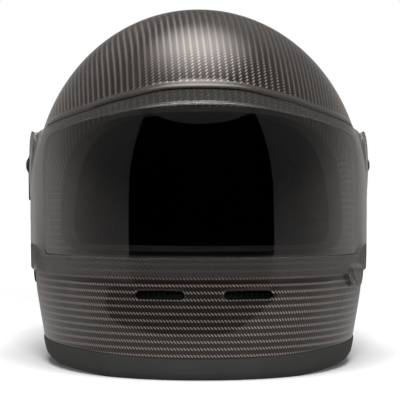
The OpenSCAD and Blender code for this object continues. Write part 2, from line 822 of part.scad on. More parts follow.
outer_shell();
bottom_trim();
eyeport_seal();
crown_eps();
chin_eps();
crown_liner();
cheek_pad_left();
cheek_pad_right();
neck_roll();
pad_studs();
vent_mesh_left();
vent_mesh_right();
pivot_base_left();
pivot_base_right();
base_screws();
visor();
pivot_washer_left();
pivot_washer_right();
pivot_cover_left();
pivot_cover_right();
pivot_screw_left();
pivot_screw_right();
strap_left();
strap_right();
strap_sleeve_left();
strap_sleeve_right();
anchor_plate_left();
anchor_plate_right();
strap_rivets();
ring_upper();
ring_lower();
snap_stud();
snap_socket();
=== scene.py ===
"""A full face motorcycle helmet with a carbon shell, dressed for a studio photograph."""
import json
import math

import bpy
import numpy as np
from mathutils import Matrix, Vector
from mathutils.geometry import delaunay_2d_cdt


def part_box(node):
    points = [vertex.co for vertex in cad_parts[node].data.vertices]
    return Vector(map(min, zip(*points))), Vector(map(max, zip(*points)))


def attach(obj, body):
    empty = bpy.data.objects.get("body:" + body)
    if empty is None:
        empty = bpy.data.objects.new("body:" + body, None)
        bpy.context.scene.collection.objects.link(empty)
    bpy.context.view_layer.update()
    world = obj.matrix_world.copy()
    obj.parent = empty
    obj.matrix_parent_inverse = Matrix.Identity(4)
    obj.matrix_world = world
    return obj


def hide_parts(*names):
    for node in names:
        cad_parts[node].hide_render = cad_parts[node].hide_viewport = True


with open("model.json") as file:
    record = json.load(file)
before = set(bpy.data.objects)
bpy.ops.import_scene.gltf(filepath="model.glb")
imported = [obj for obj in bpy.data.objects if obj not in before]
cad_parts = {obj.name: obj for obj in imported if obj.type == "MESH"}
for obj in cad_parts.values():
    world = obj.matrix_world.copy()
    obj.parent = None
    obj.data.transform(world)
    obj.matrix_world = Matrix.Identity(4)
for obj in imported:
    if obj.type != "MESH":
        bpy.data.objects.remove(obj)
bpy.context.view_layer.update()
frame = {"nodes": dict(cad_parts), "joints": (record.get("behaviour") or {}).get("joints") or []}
bpy.ops.object.select_all(action="DESELECT")
mm = 0.001


# Camera
# A long lens, level with the cheeks, 1.3 m ahead of the pivots and turned a little
# to the wearer's right, so that the chin slots sit just right of the picture's middle.
pivot = Vector(next(j["pos_m"] for j in frame["joints"] if j["name"] == "visor_tilt"))
camera_reach = 1300 * mm
camera_height = 120.6 * mm
camera_turn = math.radians(-1.35)
aim_turn = math.radians(-1.41)
camera_data = bpy.data.cameras.new("camera")
camera_data.sensor_width = 36
camera_data.lens = 153.9
camera = bpy.data.objects.new("camera", camera_data)
camera.location = (
    math.sin(camera_turn) * camera_reach,
    pivot.y - math.cos(camera_turn) * camera_reach,
    camera_height,
)
camera.rotation_euler = (math.pi / 2, 0, aim_turn)
bpy.context.scene.collection.objects.link(camera)
bpy.context.scene.camera = camera


# Outer shell
# Woven carbon cloth laid up over a mould, cured, trimmed and given a clear coat.
# The crown's cloth runs front to back, and the cloth of the sides and the chin runs
# round the helmet. A lip stands over the visor, and the chin bar has a step and two slots.
shell_low, shell_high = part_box("outer_shell")
half_w = 123.5 * mm
crown_z = shell_high.z
front_r = 172 * mm
back_r = 166 * mm
belt_z = 130 * mm
chin_z = 45 * mm
nape_z = 140 * mm
chin_drop = 131 * mm
nape_drop = 220 * mm
tuck_z = 62 * mm
tuck_blend = 14 * mm
tuck_slope = 0.185
plan_power = 2.1
shell_thickness = 3 * mm
edge_front = shell_low.z
edge_arch = 5 * mm
ledge_z = 65 * mm
ledge_out = 2.2 * mm


def tuck(z):
    return (tuck_z - z + np.sqrt((tuck_z - z) ** 2 + tuck_blend ** 2)) / 2


def half_width(z, inset):
    """Half the width of the mould line moved inwards by inset, at level z."""
    up = (z - belt_z) / (crown_z - inset - belt_z)
    above = (half_w - inset) * np.sqrt(np.clip(1 - up ** 2, 0, 1))
    below = half_w - inset - tuck_slope * (tuck(z) - tuck(belt_z))
    return np.where(z > belt_z, above, below)


def reach(z, inset, ahead):
    """How far the mould line reaches ahead of the pivots, or behind them, at level z."""
    up = np.clip((z - chin_z) / (crown_z - inset - chin_z), 0, 1) ** 2.3
    down = np.clip((chin_z - z) / chin_drop, 0, 1) ** 2
    front = (front_r - inset) * np.sqrt(1 - np.where(z > chin_z, up, down))
    up = np.clip((z - nape_z) / (crown_z - inset - nape_z), 0, 1) ** 2.1
    down = np.clip((nape_z - z) / nape_drop, 0, 1) ** 2
    back = (back_r - inset) * np.sqrt(1 - np.where(z > nape_z, up, down))
    return np.where(ahead, front, back)


def mould(angle, z, inset):
    """Points of the mould line; the angle runs from the wearer's left, and is negative ahead."""
    c, s = np.cos(angle), np.sin(angle)
    x = half_width(z, inset) * np.sign(c) * np.abs(c) ** (2 / plan_power)
    y = pivot.y + reach(z, inset, s < 0) * np.sign(s) * np.abs(s) ** (2 / plan_power)
    return np.stack([x, y, z + 0 * x], axis=-1)


def angle_at(y, z, inset):
    """The mould line's angle at which it reaches y, on the wearer's left."""
    ahead = y < pivot.y
    share = np.clip(np.abs(y - pivot.y) / reach(z, inset, ahead), 0, 1)
    return np.where(ahead, -1, 1) * np.arcsin(share ** (plan_power / 2))


def ramp(v, low, high):
    return np.clip((v - low) / (high - low), 0, 1)


def ease(v, low, high):
    t = ramp(v, low, high)
    return t * t * (3 - 2 * t)


def wrapped_sheet(name, columns, rows, place):
    """A grid of quads laid on the mould: place() takes arrays across and along, from 0 to 1."""
    bpy.ops.mesh.primitive_grid_add(x_subdivisions=columns, y_subdivisions=rows, size=1,
        calc_uvs=False)
    sheet = bpy.context.object
    sheet.name = name
    flat = np.array([v.co for v in sheet.data.vertices])
    sheet.data.vertices.foreach_set("co", place(flat[:, 0] + 0.5, flat[:, 1] + 0.5).ravel())
    return sheet


outwards = ("normals_make_consistent", {"inside": False})


def pick(piece):
    bpy.ops.object.select_all(action="DESELECT")
    bpy.context.view_layer.objects.active = piece
    piece.select_set(True)


def edit_all(piece, *steps):
    """Runs edit mode operators on everything in a piece."""
    pick(piece)
    bpy.ops.object.mode_set(mode="EDIT")
    bpy.ops.mesh.select_all(action="SELECT")
    for step, options in steps:
        getattr(bpy.ops.mesh, step)(**options)
    bpy.ops.object.mode_set(mode="OBJECT")


def finish_with(piece, kind, **options):
    """Adds a modifier to a piece and applies it."""
    pick(piece)
    modifier = piece.modifiers.new(kind, kind)
    for name, value in options.items():
        setattr(modifier, name, value)
    bpy.ops.object.modifier_apply(modifier=modifier.name)


def shade_smooth(piece, angle):
    pick(piece)
    bpy.ops.object.shade_smooth_by_angle(angle=math.radians(angle))
    piece.select_set(False)


def edge_height(angle):
    return edge_front + edge_arch * np.cos(angle) ** 2


def runs_along(line):
    """How far along a line each of its points lies."""
    return np.concatenate([[0], np.cumsum(np.linalg.norm(np.diff(line, axis=0), axis=1))])


def unit(vectors):
    return vectors / np.linalg.norm(vectors, axis=1, keepdims=True)


shell_columns = 240
foot_level = 4
dome_rise = crown_z / mm - foot_level
shell_levels = np.concatenate([
    np.linspace(15.5, 61, 16),
    [62.6, 63.4, 63.9, 64.3, 64.6, 64.9, 65.2, 65.5, 66.5, 68.5],
    foot_level + dome_rise * np.sin(np.linspace(math.asin(67.5 / dome_rise), math.pi / 2, 92)),
]) * mm


def shell_skin(across, along):
    angle = across * 2 * math.pi
    z = np.interp(along, np.linspace(0, 1, len(shell_levels)), shell_levels)
    z = z + (edge_height(angle) - edge_front) * np.maximum(0, 1 - (z - edge_front) / (40 * mm))
    step = ramp(-np.sin(angle), 0.66, 0.8) * ease(z, 22 * mm, ledge_z - 11 * mm)
    step = step * np.sqrt(np.clip(1 - np.maximum(0, (z - (ledge_z - 1.4 * mm)) / (1.6 * mm)) ** 2,
        0, 1))
    return mould(angle, z, -ledge_out * step)


shell = wrapped_sheet("outer_shell_skin", shell_columns, len(shell_levels) - 1, shell_skin)
edit_all(shell, ("remove_doubles", {"threshold": 0.05 * mm}), outwards)
finish_with(shell, "SOLIDIFY", thickness=shell_thickness, offset=-1)


def solid(name, points, faces):
    """A new piece from its points and faces."""
    mesh = bpy.data.meshes.new(name)
    mesh.from_pydata([tuple(p) for p in points], [], faces)
    piece = bpy.data.objects.new(name, mesh)
    bpy.context.scene.collection.objects.link(piece)
    return piece


def side_prism(name, outline, x_low=-200 * mm, x_high=200 * mm):
    """A cutting block whose side view is the outline of (y, z) points."""
    n = len(outline)
    faces = [tuple(range(n))[::-1], tuple(range(n, 2 * n))]
    faces += [(i, (i + 1) % n, n + (i + 1) % n, n + i) for i in range(n)]
    block = solid(name, [(x, y, z) for x in (x_low, x_high) for y, z in outline], faces)
    edit_all(block, outwards)
    return block


def tube(name, rings, closed=False):
    """Skin through rings of equal point counts, joined round or capped at both ends."""
    m, n = len(rings), len(rings[0])
    faces = [(i * n + k, i * n + (k + 1) % n, (i + 1) % m * n + (k + 1) % n, (i + 1) % m * n + k)
             for i in range(m if closed else m - 1) for k in range(n)]
    if not closed:
        faces += [tuple(range(n))[::-1], tuple(range((m - 1) * n, m * n))]
    piece = solid(name, [p for ring in rings for p in ring], faces)
    edit_all(piece, outwards)
    return piece


def boolean(piece, other, operation):
    finish_with(piece, "BOOLEAN", object=other, operation=operation, solver="MANIFOLD")
    bpy.data.objects.remove(other)


def smooth_line(points, step=2 * mm):
    """A rounded line through the points, cut into even steps."""
    points = [np.array(p, float) for p in points]
    points = [2 * points[0] - points[1]] + points + [2 * points[-1] - points[-2]]
    line = []
    for a, b, c, d in zip(points, points[1:], points[2:], points[3:]):
        count = max(1, round(np.linalg.norm(c - b) / step))
        for t in np.arange(count) / count:
            line.append(0.5 * (2 * b + (c - a) * t + (2 * a - 5 * b + 4 * c - d) * t ** 2
                               + (3 * b - a - 3 * c + d) * t ** 3))
    return line + [points[-2]]


# The eye opening, as seen from the side
eye_low = 86 * mm
eye_high = 186 * mm
eye_rear = pivot.y - 106 * mm
eye_side = smooth_line(
    [(eye_rear + y * mm, eye_low + z * mm) for y, z in ((-60, 0), (-18, 1), (-6, 7), (-1, 19))]
    + [(eye_rear, (eye_low + eye_high) / 2)]
    + [(eye_rear + y * mm, eye_high + z * mm)
       for y, z in ((-1, -34), (-6, -18), (-18, -7), (-34, -2), (-60, 2))], 4 * mm)
eye_ahead = eye_rear - 90 * mm
eye_side = [(eye_ahead, eye_low)] + [tuple(p) for p in eye_side] + [(eye_ahead, eye_high + 6 * mm)]
boolean(shell, side_prism("eye_cutter", eye_side), "DIFFERENCE")

# The two chin slots, with a flared mouth
slot_near = 13 * mm
slot_length = 32.4 * mm
slot_height = 5.5 * mm
slot_z = 57.5 * mm


def arc(x, z, radius, start, end, step):
    """Points on an arc round (x, z), every step degrees."""
    return [(x + radius * math.cos(math.radians(a)), z + radius * math.sin(math.radians(a)))
            for a in range(start, end + 1, step)]


def slot_outline(grow):
    """Points (x, z) of the left slot's outline, grown all round."""
    r = slot_height / 2
    return (arc(slot_near + slot_length - r, slot_z, r + grow, -90, 90, 12)
            + arc(slot_near + r, slot_z, r + grow, 90, 270, 12))


def mirror(piece):
    piece.data.transform(Matrix.Scale(-1, 4, (1, 0, 0)))
    piece.data.flip_normals()


def slot_tube(side, steps, depth):
    """A closed tube from front to back, whose outline grows or shrinks with the depth."""
    piece = tube("slot", [[(x, depth(x, step), z) for x, z in slot_outline(grow * mm)]
                          for grow, step in steps])
    if side < 0:
        mirror(piece)
    return piece


def chin_face(x, step):
    """The y a step behind the chin bar's face at the slots' level, x from the middle."""
    wide = float(half_width(slot_z, -ledge_out))
    deep = (1 - (abs(x) / wide) ** plan_power) ** (1 / plan_power)
    return pivot.y - float(reach(slot_z, -ledge_out, True)) * deep + step * mm


slot_mouth = [(2.6, -4), (2.6, -0.4), (0.9, 0.55), (0.1, 1.4), (0, 14)]
for side in (1, -1):
    boolean(shell, slot_tube(side, slot_mouth, chin_face), "DIFFERENCE")

# The lip over the visor, a rounded bead that fades out above the pivots
visor_high = 195.4 * mm
rim_top = [(-155, 8), (-132, 0), (-126.5, -5), (-107.5, -13.2), (-93, -16.5), (-52.5, -23.2),
           (-26, -24.4)]
rim_top = [(pivot.y + y * mm, visor_high + z * mm) for y, z in rim_top]
lip_profile = [(0.9, -1.2), (0.7, 1.2), (1.1, 2.0), (1.9, 2.5), (2.9, 2.6), (4.2, 2.3),
               (5.6, 1.5), (7.2, 0.5), (8.6, -0.2), (9.4, -1.2)]


def visor_top(angle):
    """The level of the visor's upper edge at an angle of the mould line."""
    line_y, line_z = zip(*rim_top)
    z = np.full_like(angle, visor_high)
    for _ in range(12):
        z = np.interp(mould(angle, z, -3 * mm)[..., 1], line_y, line_z)
    return z


lip_angles = np.radians(np.linspace(-90, -9, 90))
lip_line = visor_top(lip_angles)
window = np.hanning(9) / np.hanning(9).sum()
lip_line = np.concatenate([lip_line[4:0:-1], lip_line, np.full(4, lip_line[-1])])
lip_line = np.convolve(lip_line, window, "valid")
lip_fade = ease(-lip_angles, math.radians(9), math.radians(24))
lip_rings = []
for angle, low, fade in zip(lip_angles, lip_line, lip_fade):
    a, b = mould(angle, low, 0), mould(angle, low + 2 * mm, 0)
    climb = 2 * mm / np.linalg.norm(b - a)
    lip_rings.append([
        mould(angle, low + up * mm * climb,
            -(out * fade - (1 - fade)) * mm if out > 0 else -out * mm)
        for up, out in lip_profile])
lip_rings = [[p * (-1, 1, 1) for p in ring] for ring in lip_rings[:0:-1]] + lip_rings
boolean(shell, tube("lip", lip_rings), "UNION")

# Pockets for the base plates, with a boss behind each
base_radius = 19.8 * mm
pocket_x = 120.9 * mm


def pivot_disc(side, wider, depth, out, count=96):
    """A disc on the pivots' line, wider than the base plate, its middle out from its pocket."""
    bpy.ops.mesh.primitive_cylinder_add(
        vertices=count, radius=base_radius + wider * mm, depth=depth * mm,
        location=(side * (pocket_x + out * mm), pivot.y, pivot.z), rotation=(0, math.pi / 2, 0))
    return bpy.context.object


for side in (1, -1):
    boolean(shell, pivot_disc(side, 3, 5.5, -2.25), "UNION")
    boolean(shell, pivot_disc(side, 0.2, 20, 10), "DIFFERENCE")
shade_smooth(shell, 32)

# Cloth coordinates, in metres along the cloth. Its tows are 1.66 mm wide, and the two halves
# of the chin's cloth meet in the middle with their rows in line. The sides' cloth meets the
# crown's in a mitred seam at the back, and in a seam under the visor. The crown's cloth lies
# a little askew, and its floats are drawn longer than the real 2.4 mm, so that they show.
tow = 1.66 * mm
half_row = tow / math.sqrt(2)
places = np.array([v.co for v in shell.data.vertices])
x, y, z = places.T
ahead = y < pivot.y
run = np.abs(y - pivot.y)
crown_turn = np.arctan2(y - pivot.y, z - belt_z + 1e-6)
crown_u = half_w * np.arcsin(np.clip(x / (half_w * 1.001), -1, 1)) + 6 * mm * crown_turn
crown_v = 105 * mm * crown_turn
section = np.clip(run / reach(np.full_like(z, belt_z), 0, ahead), 0, 0.985)
wide = half_w * (1 - section ** plan_power) ** (1 / plan_power)
top = np.where(
    ahead,
    chin_z + (crown_z - chin_z) * (1 - (section * 0.99) ** 2) ** (1 / 2.3),
    nape_z + (crown_z - nape_z) * (1 - (section * 0.99) ** 2) ** (1 / 2.1),
) - belt_z
turn = np.arctan2(np.abs(x) / wide, np.maximum((z - belt_z) / top, 0))
quarter_steps = (0.1, 0.3, 0.5, 0.7, 0.9)
arc_run = sum(np.sqrt((wide * np.cos(turn * k)) ** 2 + (top * np.sin(turn * k)) ** 2)
              for k in quarter_steps)
side_u = np.where(z > belt_z, turn * arc_run / len(quarter_steps),
                  half_w * math.pi / 2 + belt_z - z)
round_angles = np.linspace(0, math.pi / 2, 200)
round_line = mould(-round_angles, np.full(200, belt_z), 0)
round_run = runs_along(round_line)
round_at = np.arctan2((run / reach(z, 0, ahead)) ** (plan_power / 2),
                      (np.abs(x) / half_width(z, 0)) ** (plan_power / 2))
along_belt = np.interp(round_at, round_angles, round_run)
side_v = along_belt * reach(z, 0, ahead) / front_r * np.where(ahead, -1, 1)
side_v = side_v + round_run[-1] * reach(z, 0, True) / front_r
facing = np.abs(np.arctan2(run, np.abs(x)))
blended = ease(facing, math.radians(32), math.radians(62))
corners = np.array([loop.vertex_index for loop in shell.data.loops])
sizes = [f.loop_total for f in shell.data.polygons]
middles = np.repeat([f.center[:] for f in shell.data.polygons], sizes, axis=0)
seam_lean = 1.07
brow_z = 150 * mm
mitred = middles[:, 1] - pivot.y > seam_lean * np.abs(middles[:, 0])
share = np.where(middles[:, 1] > pivot.y, mitred, blended[corners] * (middles[:, 2] > brow_z))
half_of = np.sign(middles[:, 0])
lined_up = half_row * (half_of < 0)
cloth_u = (half_of * side_u[corners] - lined_up) * (1 - share) + crown_u[corners] * share
cloth_v = (side_v[corners] - lined_up) * (1 - share) + crown_v[corners] * share
cloth = shell.data.uv_layers.new(name="cloth")
cloth.data.foreach_set("uv", np.stack([cloth_u, cloth_v], axis=1).ravel())

# The lip over the visor is filled and sprayed, so no cloth shows there
over = np.interp(angle_at(y, z, 0), lip_angles, lip_line)
halves = np.stack([np.sign(x), x * 0 + 1, x * 0 + 1], axis=1)
proud = np.linalg.norm(places - mould(angle_at(y, z, 0), z, 0) * halves, axis=1)
bare = ((proud > 0.25 * mm) & (z > over - 2 * mm) & (z < over + 12 * mm)
        & (y < pivot.y) & (z > brow_z))
sprayed = shell.data.attributes.new("sprayed", "FLOAT", "POINT")
sprayed.data.foreach_set("value", bare.astype(float))


def colour(code):
    """An sRGB hex colour as linear red, green, blue and alpha."""
    parts = [int(code[i:i + 2], 16) / 255 for i in (1, 3, 5)]
    return tuple(c / 12.92 if c <= 0.04045 else ((c + 0.055) / 1.055) ** 2.4 for c in parts) + (1,)


def new_material(name):
    """A material with an empty node tree, which add() then fills."""
    global tree
    material = bpy.data.materials.new(name)
    material.use_nodes = True
    tree = material.node_tree
    tree.nodes.clear()
    return material


def add(kind, inputs=(), **settings):
    """Adds a node, fills or links its inputs by name or order, and returns its outputs."""
    made = tree.nodes.new("ShaderNode" + kind)
    for name, value in settings.items():
        setattr(made, name, value)
    for name, value in (inputs if isinstance(inputs, dict) else dict(enumerate(inputs))).items():
        if isinstance(value, type(made.outputs)):
            value = value[0]
        if isinstance(value, bpy.types.NodeSocket):
            tree.links.new(value, made.inputs[name])
        else:
            made.inputs[name].default_value = value
    return made.outputs


def fitted(piece, material, node, body="helmet"):
    """Finishes a piece and puts it in its CAD node's place on a body."""
    piece.data.materials.clear()
    piece.data.materials.append(material)
    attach(piece, body)
    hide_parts(node)


# Carbon cloth, 2 by 2 twill laid at 45 degrees: each tow of 1.66 mm lies over two and under
# two, so bands 4.7 mm apart run along the cloth, and each band is a row of slanted floats.
# The fibres shine along one line only. A gloss clear coat covers them. The floats of one
# way are painted lighter than those of the other, and each float is painted bright along its
# middle and dark towards its edges and ends, as painted highlights and shade.
carbon = new_material("twill_carbon_under_clear_coat")
uv = add("UVMap", uv_map="cloth")
split = add("SeparateXYZ", [uv])
diagonals = []
for operation in ("ADD", "SUBTRACT"):
    mixed = add("Math", [split, split[1]], operation=operation)
    diagonals.append(add("Math", [mixed, tow * math.sqrt(2)], operation="DIVIDE")[0])
cells = [add("Math", [d], operation="FLOOR")[0] for d in diagonals]
across = [add("Math", [d], operation="FRACT")[0] for d in diagonals]
number = add("Math", [cells[0], cells[1]], operation="ADD")
phase = add("Math", [number, 4.0], operation="FLOORED_MODULO")
warp_over = add("Math", [phase, 1.5], operation="LESS_THAN")
width_place = add("Mix", {0: warp_over, 2: across[0], 3: across[1]}, data_type="FLOAT")
run_on = add("Mix", {0: warp_over, 2: across[1], 3: across[0]}, data_type="FLOAT")
pair = add("Math", [phase, 2.0], operation="FLOORED_MODULO")
length_place = add("Math", [pair, run_on], operation="ADD")
rises = []
for place_in_float, full in ((width_place, 1.0), (length_place, 2.0)):
    centred = add("MapRange", [place_in_float[0], 0.0, full, -1.0, 1.0])
    squared = add("Math", [centred, centred], operation="MULTIPLY")
    rises.append(add("Math", [1.0, squared], operation="SUBTRACT"))
long_rise = add("Math", [rises[1][0], 0.8], operation="MULTIPLY")
height = add("Math", [rises[0][0], long_rise], operation="ADD")
fine = add("Mapping", {0: uv, 3: (900, 900, 900)}, vector_type="POINT")
fibres = add("TexNoise", {"Vector": fine, "Scale": 1.0, "Detail": 2.0}, noise_dimensions="2D")
# Painted light and shade: the floats of one way get a lighter colour than those of the other
lit_and_shaded_tow_tone = add("Mix", {0: warp_over, 6: colour("#25211f"), 7: colour("#645c57")}, data_type="RGBA")
# Painted highlight and shade: each float is painted brighter along its middle, darker at its edges
# and ends
narrowed = add("Math", [rises[0][0], 3.0], operation="POWER")
lit_middle = add("Math", [narrowed, rises[1][0]], operation="MULTIPLY")
painted_float_light_and_shade = add("MapRange", [lit_middle, 0.0, 0.75, 0.14, 2.2], interpolation_type="SMOOTHSTEP")
speckle = add("MapRange", [fibres, 0.3, 0.7, 0.8, 1.2])
shade = add("Math", [painted_float_light_and_shade, speckle], operation="MULTIPLY")
tone = add("VectorMath", {0: lit_and_shaded_tow_tone[2], 3: shade}, operation="SCALE")
bump = add("Bump", {"Strength": 0.8, "Distance": 0.14 * mm, "Height": height})
fibre_way = add("MapRange", [warp_over, 0.0, 1.0, 0.125, 0.375])
tangent = add("Tangent", direction_type="UV_MAP", uv_map="cloth")
filled = add("Attribute", attribute_name="sprayed")
tone = add("Mix", {0: filled["Fac"], 6: tone, 7: colour("#3d3936")}, data_type="RGBA")
strength = add("MapRange", [filled["Fac"], 0.0, 1.0, 0.8, 0.0])
tree.links.new(strength[0], bump[0].node.inputs["Strength"])
surface = add("BsdfPrincipled", {"Base Color": tone[2], "Metallic": 0.6, "Roughness": 0.32,
    "Anisotropic": 0.8, "Anisotropic Rotation": fibre_way, "Tangent": tangent, "Normal": bump,
    "Coat Weight": 1.0, "Coat Roughness": 0.03, "Coat IOR": 1.5})
add("OutputMaterial", [surface])
fitted(shell, carbon, "outer_shell")


# Bottom trim
# A moulded rubber channel pushed onto the shell's lower edge. The helmet stands on it.
trim_thickness = 9 * mm
lip_height = 5 * mm
trim_arch = 4.5 * mm
trim_columns = 240


def trim_section(angle):
    """Corners (inset, z) of the channel's section at an angle."""
    top = float(edge_height(angle))
    foot = trim_arch * float(ramp(math.cos(angle) ** 2, 0.35, 1))
    shell_in = shell_thickness + 0.8 * mm
    from_corners = (
        (0, top, ((0.2, -0.25), (-0.35, -0.35), (-0.62, -0.8), (-0.9, -2.5))),
        (0, (top + foot) / 2, ((-0.95, 1.5),)),
        (0, foot, ((-0.6, 5.2), (0.1, 3.3), (1.2, 1.5), (2.6, 0.35), (3.7, 0))),
        (trim_thickness, foot, ((-2.6, 0), (-1.5, 0.4), (-0.8, 1.6))),
        (trim_thickness, top, ((-0.4, 0),)),
        (trim_thickness, top + lip_height, ((-0.3, -1.5), (-0.8, -0.2), (-1.6, 0))),
        (shell_in, top + lip_height, ((0.9, 0), (0.2, -0.3), (0, -1))),
        (shell_in, top, ((0, -0.3),)),
    )
    return [(inset + a * mm, z + b * mm) for inset, z, points in from_corners for a, b in points]


trim = tube("bottom_trim_channel", [
    [mould(angle, z, inset) for inset, z in trim_section(angle)]
    for angle in np.linspace(0, 2 * math.pi, trim_columns, endpoint=False)], closed=True)
shade_smooth(trim, 50)


def grained(name, tones, roughness, relief, depth, grain, cloud, detail=3.0, **more):
    """A material with a fine grain in its gloss and relief, and a slow change of tone."""
    made = new_material(name)
    place = add("TexCoord")
    grain = add("TexNoise", {"Vector": place["Object"], "Scale": grain, "Detail": detail})
    cloud = add("TexNoise", {"Vector": place["Object"], "Scale": cloud, "Detail": 2.0})
    tone = add("Mix", {0: cloud, 6: colour(tones[0]), 7: colour(tones[1])}, data_type="RGBA")
    rough = add("MapRange", {0: grain, 3: roughness[0], 4: roughness[1]})
    bump = add("Bump", {"Strength": relief, "Distance": depth * mm, "Height": grain})
    surface = add("BsdfPrincipled", {
        "Base Color": tone[2], "Roughness": rough, "Normal": bump, **more})
    add("OutputMaterial", [surface])
    return made


# Black rubber: a very fine moulded grain and a soft, broad sheen
rubber = grained("moulded_black_rubber", ("#262626", "#313130"), (0.48, 0.62), 0.25, 0.08,
                 grain=2200.0, cloud=30.0, **{"Specular IOR Level": 0.4})
fitted(trim, rubber, "bottom_trim")


# Eye opening seal
# A rubber gasket, pressed onto the cut edge of the eye opening, that keeps wind and rain
# out where the closed visor meets the shell.
seal_width = 4 * mm
seat_gap = 0.3 * mm


def dome(name, inset, foot, columns=160, rows=64):
    """A closed solid of the mould moved inwards by inset, standing on a flat foot."""
    def place(across, along):
        z = foot + (crown_z - inset - foot) * np.sin(along * math.pi / 2)
        return mould(across * 2 * math.pi, z, inset)

    piece = wrapped_sheet(name, columns, rows, place)
    edit_all(piece, ("remove_doubles", {"threshold": 0.02 * mm}), ("fill_holes", {"sides": 0}),
             outwards)
    return piece


def layer(name, outer, inner, foot, columns=160, rows=64):
    """What lies between two insets of the mould, above a level."""
    piece = dome(name, outer, foot, columns, rows)
    boolean(piece, dome("hollow", inner, foot - 4 * mm, columns, rows), "DIFFERENCE")
    return piece


def grown(loop, distance):
    """A closed loop moved outwards by distance."""
    loop = np.array(loop)
    along = np.roll(loop, -1, axis=0) - np.roll(loop, 1, axis=0)
    out = unit(np.stack([along[:, 1], -along[:, 0]], axis=1))
    area = np.sum(loop[:, 0] * np.roll(loop[:, 1], -1) - loop[:, 1] * np.roll(loop[:, 0], -1))
    return loop + out * distance * (1 if area > 0 else -1)


def trimmed(piece, outline, x_low=-200 * mm):
    """Keeps what lies inside an outline of (y, z) points, as seen from the side."""
    boolean(piece, side_prism("trimmer", outline, x_low), "INTERSECT")


def rounded(piece, width, segments, angle):
    """Bevels the edges that turn by more than an angle."""
    finish_with(piece, "BEVEL", width=width * mm, segments=segments, limit_method="ANGLE",
                angle_limit=math.radians(angle))


seal = layer("eyeport_gasket", -0.2 * mm, 6 * mm, 70 * mm)
trimmed(seal, grown(eye_side, -seat_gap))
boolean(seal, side_prism("seal_opening", grown(eye_side, -seal_width)), "DIFFERENCE")
rounded(seal, 1.3, 3, 50)
shade_smooth(seal, 50)
fitted(seal, rubber, "eyeport_seal")


# Crown and chin foam
# Black expanded polystyrene, steam moulded in the shell's form. It takes up a blow's energy.
# The chin block is hollowed behind the slots, and the crown is cut back round the pivots.
foam_out = 3.3 * mm
foam_thickness = 30 * mm
cheek_front = eye_rear + 13 * mm
cheek_rear = pivot.y + 47 * mm
cheek_low = 34 * mm
cheek_high = 108 * mm
nape_foot = 46 * mm
temple_foot = 112 * mm
crown_region = [
    (-0.2, 0.4), (0.2, 0.4), (0.2, nape_foot), (cheek_rear + 32 * mm, nape_foot),
    (cheek_rear + 18 * mm, temple_foot), (pivot.y - 45 * mm, temple_foot),
    (eye_rear + 39 * mm, temple_foot + 6 * mm), (eye_rear + 21 * mm, 150 * mm),
    (eye_rear + 6 * mm, eye_high - 10 * mm), (eye_rear - 11 * mm, eye_high + 3 * mm),
    (-0.2, eye_high + 5 * mm),
]
chin_block = [(y, z * mm) for y, z in (
    (-0.3, 27), (eye_rear + 6 * mm, 27), (eye_rear + 6 * mm, 82), (-0.3, 82))]
crown_foam = layer("crown_foam", foam_out, foam_out + foam_thickness, 30 * mm)
trimmed(crown_foam, crown_region)
chin_foam = layer("chin_foam", foam_out, foam_out + 16 * mm, 20 * mm)
trimmed(chin_foam, chin_block)
for side in (1, -1):
    boolean(crown_foam, pivot_disc(side, 4, 20, 4, 64), "DIFFERENCE")
    hollow = slot_tube(side, [(3.5, -200), (3.5, -100)], lambda x, step: step * mm)
    boolean(chin_foam, hollow, "DIFFERENCE")

# Expanded polystyrene: beads of 3 mm pressed flat against each other, in a matte black,
# with painted shade in the grooves between them
beads = new_material("black_expanded_polystyrene")
place = add("TexCoord")
cells = add("TexVoronoi", {"Vector": place["Object"], "Scale": 330.0}, feature="DISTANCE_TO_EDGE")
bead = add("TexVoronoi", {"Vector": place["Object"], "Scale": 330.0}, feature="F1")
groove = add("MapRange", [cells, 0.0, 0.12, 0.0, 1.0])
# Painted shade: the grooves between the beads are darker
tone = add("Mix", {0: groove, 6: colour("#060606"), 7: colour("#121213")}, data_type="RGBA")
varied = add("HueSaturation", {"Color": tone[2]})
lightness = add("SeparateXYZ", [bead["Color"]])
value = add("MapRange", [lightness, 0.0, 1.0, 0.8, 1.2])
tree.links.new(value[0], varied[0].node.inputs["Value"])
bump = add("Bump", {"Strength": 0.5, "Distance": 0.3 * mm, "Height": groove})
surface = add("BsdfPrincipled",
    {"Base Color": varied, "Roughness": 0.75, "Specular IOR Level": 0.3, "Normal": bump})
add("OutputMaterial", [surface])
for piece, node in ((crown_foam, "crown_eps"), (chin_foam, "chin_eps")):
    rounded(piece, 1.5, 2, 50)
    shade_smooth(piece, 40)
    fitted(piece, beads, node)


# Crown liner
# Brushed knit over soft foam, sewn in panels with two seams from front to back, and
# buttoned into the crown foam. Sewing draws the seams in.
liner_out = 33.6 * mm
liner_thickness = 9 * mm


def plumped(piece, voxel, cap):
    """Fills a pad as its stuffing does, by a short cloth simulation with air pressure inside."""
    finish_with(piece, "REMESH", mode="VOXEL", voxel_size=voxel)
    scene = bpy.context.scene
    count = len(piece.data.vertices)
    start = np.empty(count * 3)
    piece.data.vertices.foreach_get("co", start)
    cloth_sim = piece.modifiers.new("filling", "CLOTH")
    cloth_sim.settings.use_pressure = True
    cloth_sim.settings.uniform_pressure_force = 4
    cloth_sim.settings.effector_weights.gravity = 0
    cloth_sim.settings.quality = 4
    for moment in range(1, 21):
        scene.frame_set(moment)
    swollen = piece.evaluated_get(bpy.context.evaluated_depsgraph_get())
    end = np.empty(count * 3)
    swollen.data.vertices.foreach_get("co", end)
    piece.modifiers.remove(cloth_sim)
    scene.frame_set(1)
    move = (end - start).reshape(-1, 3)
    size = np.linalg.norm(move, axis=1, keepdims=True)
    move *= np.minimum(1, cap / np.maximum(size, 1e-9))
    piece.data.vertices.foreach_set("co", (start.reshape(-1, 3) + move).ravel())
    finish_with(piece, "SUBSURF", levels=1, render_levels=1)


